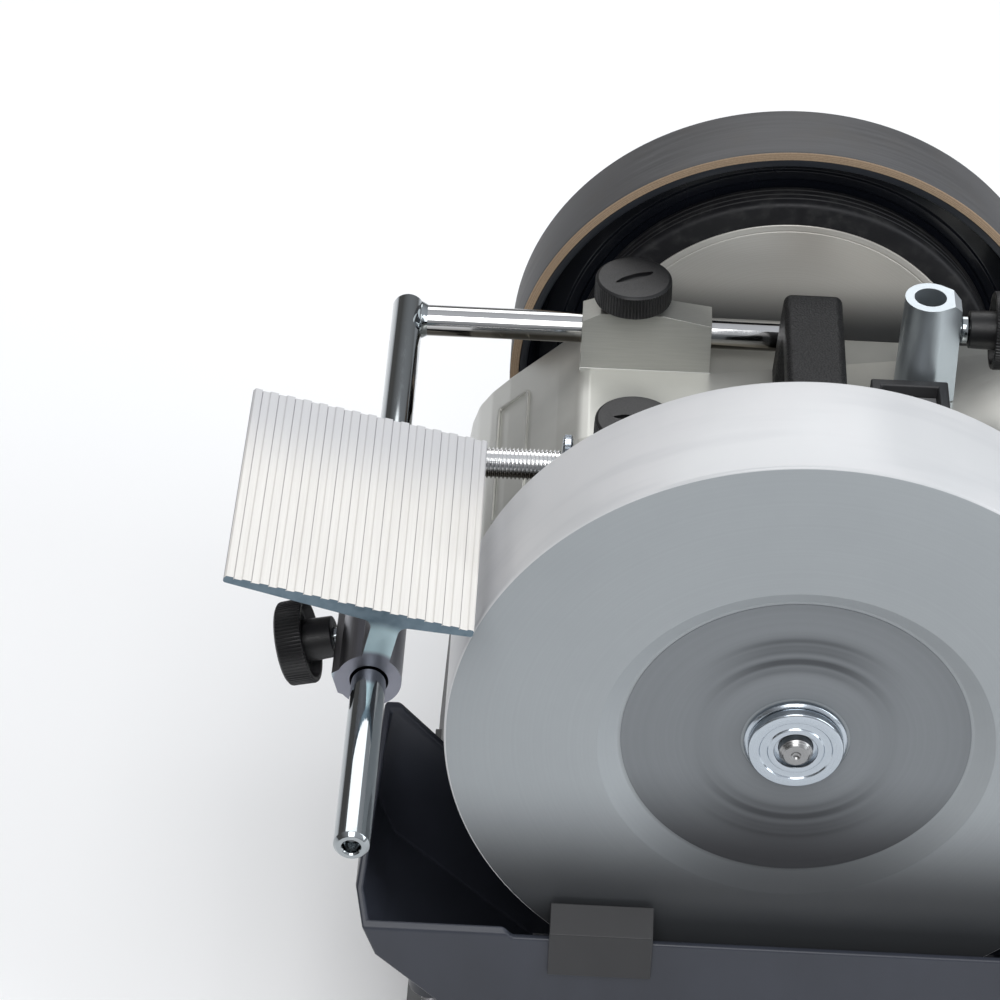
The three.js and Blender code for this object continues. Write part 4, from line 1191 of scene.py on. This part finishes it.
def knob_mesh(name, boss, place):
    """Ribbed moulded knob on the local Z axis, with a plain shallow recess in its top."""
    profile = [
        (0, KNOB_THICK - 0.1), (9, KNOB_THICK), (13.6, KNOB_THICK - 0.1, 0.5),
        (14.6, KNOB_THICK - 0.8, 0.4), (14.8, KNOB_THICK - 1.4), (KNOB_R, 0.9), (14.6, 0, 0.5),
        (13.2, 0, 0.4), (12.4, 3.5, 1), (BOSS_R + 0.4, 3.5, 0.8), (BOSS_R, -boss, 0.5), (3.3, -boss),
        (3.3, 6), (0, 6),
    ]

    def ribs(step, radius, height):
        return 0.42 if radius > 14.7 and 0.5 < height < KNOB_THICK - 1.3 and step % 4 > 1 else 0

    knob = lathe(name, profile, Matrix.Identity(4), KNOB_RIBS * 4, ribs)
    recess = [(-9, 1.1, 0.5), (-2, -1.7, 12), (6.5, -2.3, 6), (9, -1.2, 0.5), (3, 1.6, 14), (-4, 2.4, 8)]
    carve(knob, prism("knob_recess", recess, KNOB_THICK - 1.2, KNOB_THICK + 1, "Z"))
    knob.data.transform(place)
    return coat(shade(knob, 30), KNOB_PLASTIC)


def screw_mesh(name, tip, collar, boss, place):
    """Clamp screw on the local Z axis, with an optional collar under the knob's boss."""
    profile = [(0, tip), (3, tip, 0.6)]
    if collar:
        seat = -boss - 0.3
        profile += [(3, seat - collar), (5.4, seat - collar, 0.5), (5.4, seat, 0.5), (3, seat)]
    profile += [(3, 5.7), (0, 5.7)]
    return coat(shade(lathe(name, profile, place, 48), 28), CHROME)


def clamp(label, place, boss, tip, collar, twist):
    """A knob and its screw; twist is how far the knob is turned, in degrees."""
    turned_place = place @ Matrix.Rotation(math.radians(twist), 4, "Z")
    piece(knob_mesh(label + "_grip", boss, turned_place), label + "_knob")
    piece(screw_mesh(label + "_thread", tip, collar, boss, place), label + "_screw")


def clamps():
    """Five clamps: two on the bar sleeves, two on the upright sleeves and one on the tool rest."""
    for side, x, y, rim_z, boss, twist in (
        ("near", -61.5, NEAR_LEG_Y, 258.5, 2.3, 5),
        ("far", -63, FAR_LEG_Y, 259.7, 3.5, 38),
    ):
        clamp("horizontal_" + side, at(x, y, rim_z), boss, BAR_Z + 6.4 - rim_z, 0, twist)
    post_rim = 24.7
    for side, y in (("near", 82), ("far", 172)):
        place = at(POST_X + post_rim, y, POST_KNOB_Z) @ ALONG_X
        clamp("vertical_" + side, place, 9, 6.6 - post_rim, 2.7, 40)
    rest_rim = 22.8
    clamp("tool_rest", REST_SCREW @ at(0, 0, rest_rim), 8.6, 6.4 - rest_rim, 0, 60)


# ---------- trough and lift ----------


def trough_pieces():
    """Trough, its scraper, and the screw and knob that lift it."""
    rounded_nodes(("water_trough", 1.1, 3, TROUGH_PLASTIC), ("trough_scraper", 0.4, 2, HOLDER_PLASTIC))
    low, high, middle = layout_box("lift_screw")
    spot = at(middle.x, middle.y, 0)
    screw = threaded_bar("lift_thread", 4, 2, 0.8, low.z, high.z, spot, 32)
    piece(coat(shade(screw, 28), STEEL), "lift_screw")
    profile = [
        (0, 12.6), (6, 12.6, 1), (7, 12, 0.5), (13.4, 12, 1.2), (15, 14.5, 0.8), (15, 24.6, 0.8),
        (13.6, 26.4, 0.8), (7, 26.4, 0.4), (6.5, 27.6, 0.4), (4.3, 27.6), (4.3, 17.7), (0, 17.7),
    ]
    lobes = 20
    around = lobes * 12

    def flutes(step, radius, height):
        deep = 0.5 - 0.5 * math.cos(2 * math.pi * step * lobes / around)
        return 1.1 * deep if radius > 12.9 and 13 < height < 25.8 else 0

    turned("lift_grip", profile, KNOB_PLASTIC, "lift_knob", around, 35, spot, flutes)


def carried_over():
    """CAD nodes that stay as they are get their material."""
    coil = frame["nodes"]["torsion_spring"]
    coil.data.materials.clear()
    coil.data.materials.append(STEEL.material)


# ---------- floor, light and camera ----------


def studio():
    """Pale floor just under the feet, and a sky that is brightest above and to the right."""
    half_side = 9.0
    drop = 0.0003
    bm = bmesh.new()
    bmesh.ops.create_grid(bm, x_segments=1, y_segments=1, size=half_side)
    floor = from_bmesh("studio_floor", bm, at(0, 0, -drop))
    coat(floor, Look("studio_floor", (0.97, 0.97, 0.97), 0.9))

    world = bpy.data.worlds.new("studio")
    world.use_nodes = True
    bpy.context.scene.world = world
    nodes = world.node_tree.nodes
    links = world.node_tree.links
    background = nodes["Background"]
    background.inputs["Strength"].default_value = 0.8
    source = nodes.new("ShaderNodeTexCoord")
    lean = nodes.new("ShaderNodeVectorMath")
    lean.operation = "DOT_PRODUCT"
    lean.inputs[1].default_value = (0.45, -0.1, 0.88)
    ramp = nodes.new("ShaderNodeValToRGB")
    dark, pale = ramp.color_ramp.elements
    dark.color = (0.17, 0.165, 0.16, 1)
    pale.color = (0.9, 0.93, 0.98, 1)
    pale.position = 0.95
    links.new(source.outputs["Generated"], lean.inputs[0])
    links.new(lean.outputs["Value"], ramp.inputs[0])
    links.new(ramp.outputs[0], background.inputs["Color"])


def soft_light(name, place, size, power, colour=(1, 1, 1)):
    """A rectangular panel aimed at the machine; places in metres, power in watts."""
    light = bpy.data.lights.new(name, "AREA")
    light.shape = "RECTANGLE"
    light.size, light.size_y = size
    light.energy = power
    light.color = colour
    lamp = bpy.data.objects.new(name, light)
    lamp.location = place
    target = Vector((0, 0, 0.2))
    aim = target - Vector(place)
    lamp.rotation_euler = aim.to_track_quat("-Z", "Y").to_euler()
    bpy.context.scene.collection.objects.link(lamp)


def lights():
    soft_light("front_panel", (-0.2, -1.6, 2.6), (1.5, 1.8), 40)
    soft_light("back_panel", (-0.3, 1.6, 1.7), (2.0, 1.0), 16)
    soft_light("right_panel", (1.7, -0.6, 1.1), (0.7, 1.4), 12, (0.93, 0.97, 1))


def camera():
    """The photograph's view: azimuth, elevation and roll of a long lens above the left front."""
    azimuth = math.radians(-1.074)
    elevation = math.radians(37.573)
    roll = math.radians(2.039)
    view = bpy.data.cameras.new("camera")
    view.sensor_width = 36
    view.lens = 131.9
    view.clip_start = 0.05
    view.clip_end = 50
    heading = Matrix.Rotation(-azimuth, 4, "Z")
    tilt = Matrix.Rotation(math.pi / 2 - elevation, 4, "X") @ Matrix.Rotation(roll, 4, "Z")
    made = bpy.data.objects.new("camera", view)
    made.matrix_world = at(-0.06105, -1.05326, 1.05867) @ heading @ tilt
    bpy.context.scene.collection.objects.link(made)
    bpy.context.scene.camera = made


# ---------- assembly ----------

grindstone()
clamp_hardware()
drive_wheel()
honing_wheel()
inner_hardware()
top_casting()
badge_frame()
housing_details()
carrying_handle()
horizontal_sleeves()
vertical_sleeve("near")
vertical_sleeve("far")
accessory_tray()
rubber_feet()
lower_body()
cord_inlet()
motor_pieces()
support_bars()
adjust_nut()
tool_rest()
clamps()
trough_pieces()
carried_over()
studio()
lights()
camera()
bpy.context.scene.view_settings.view_transform = "Standard"
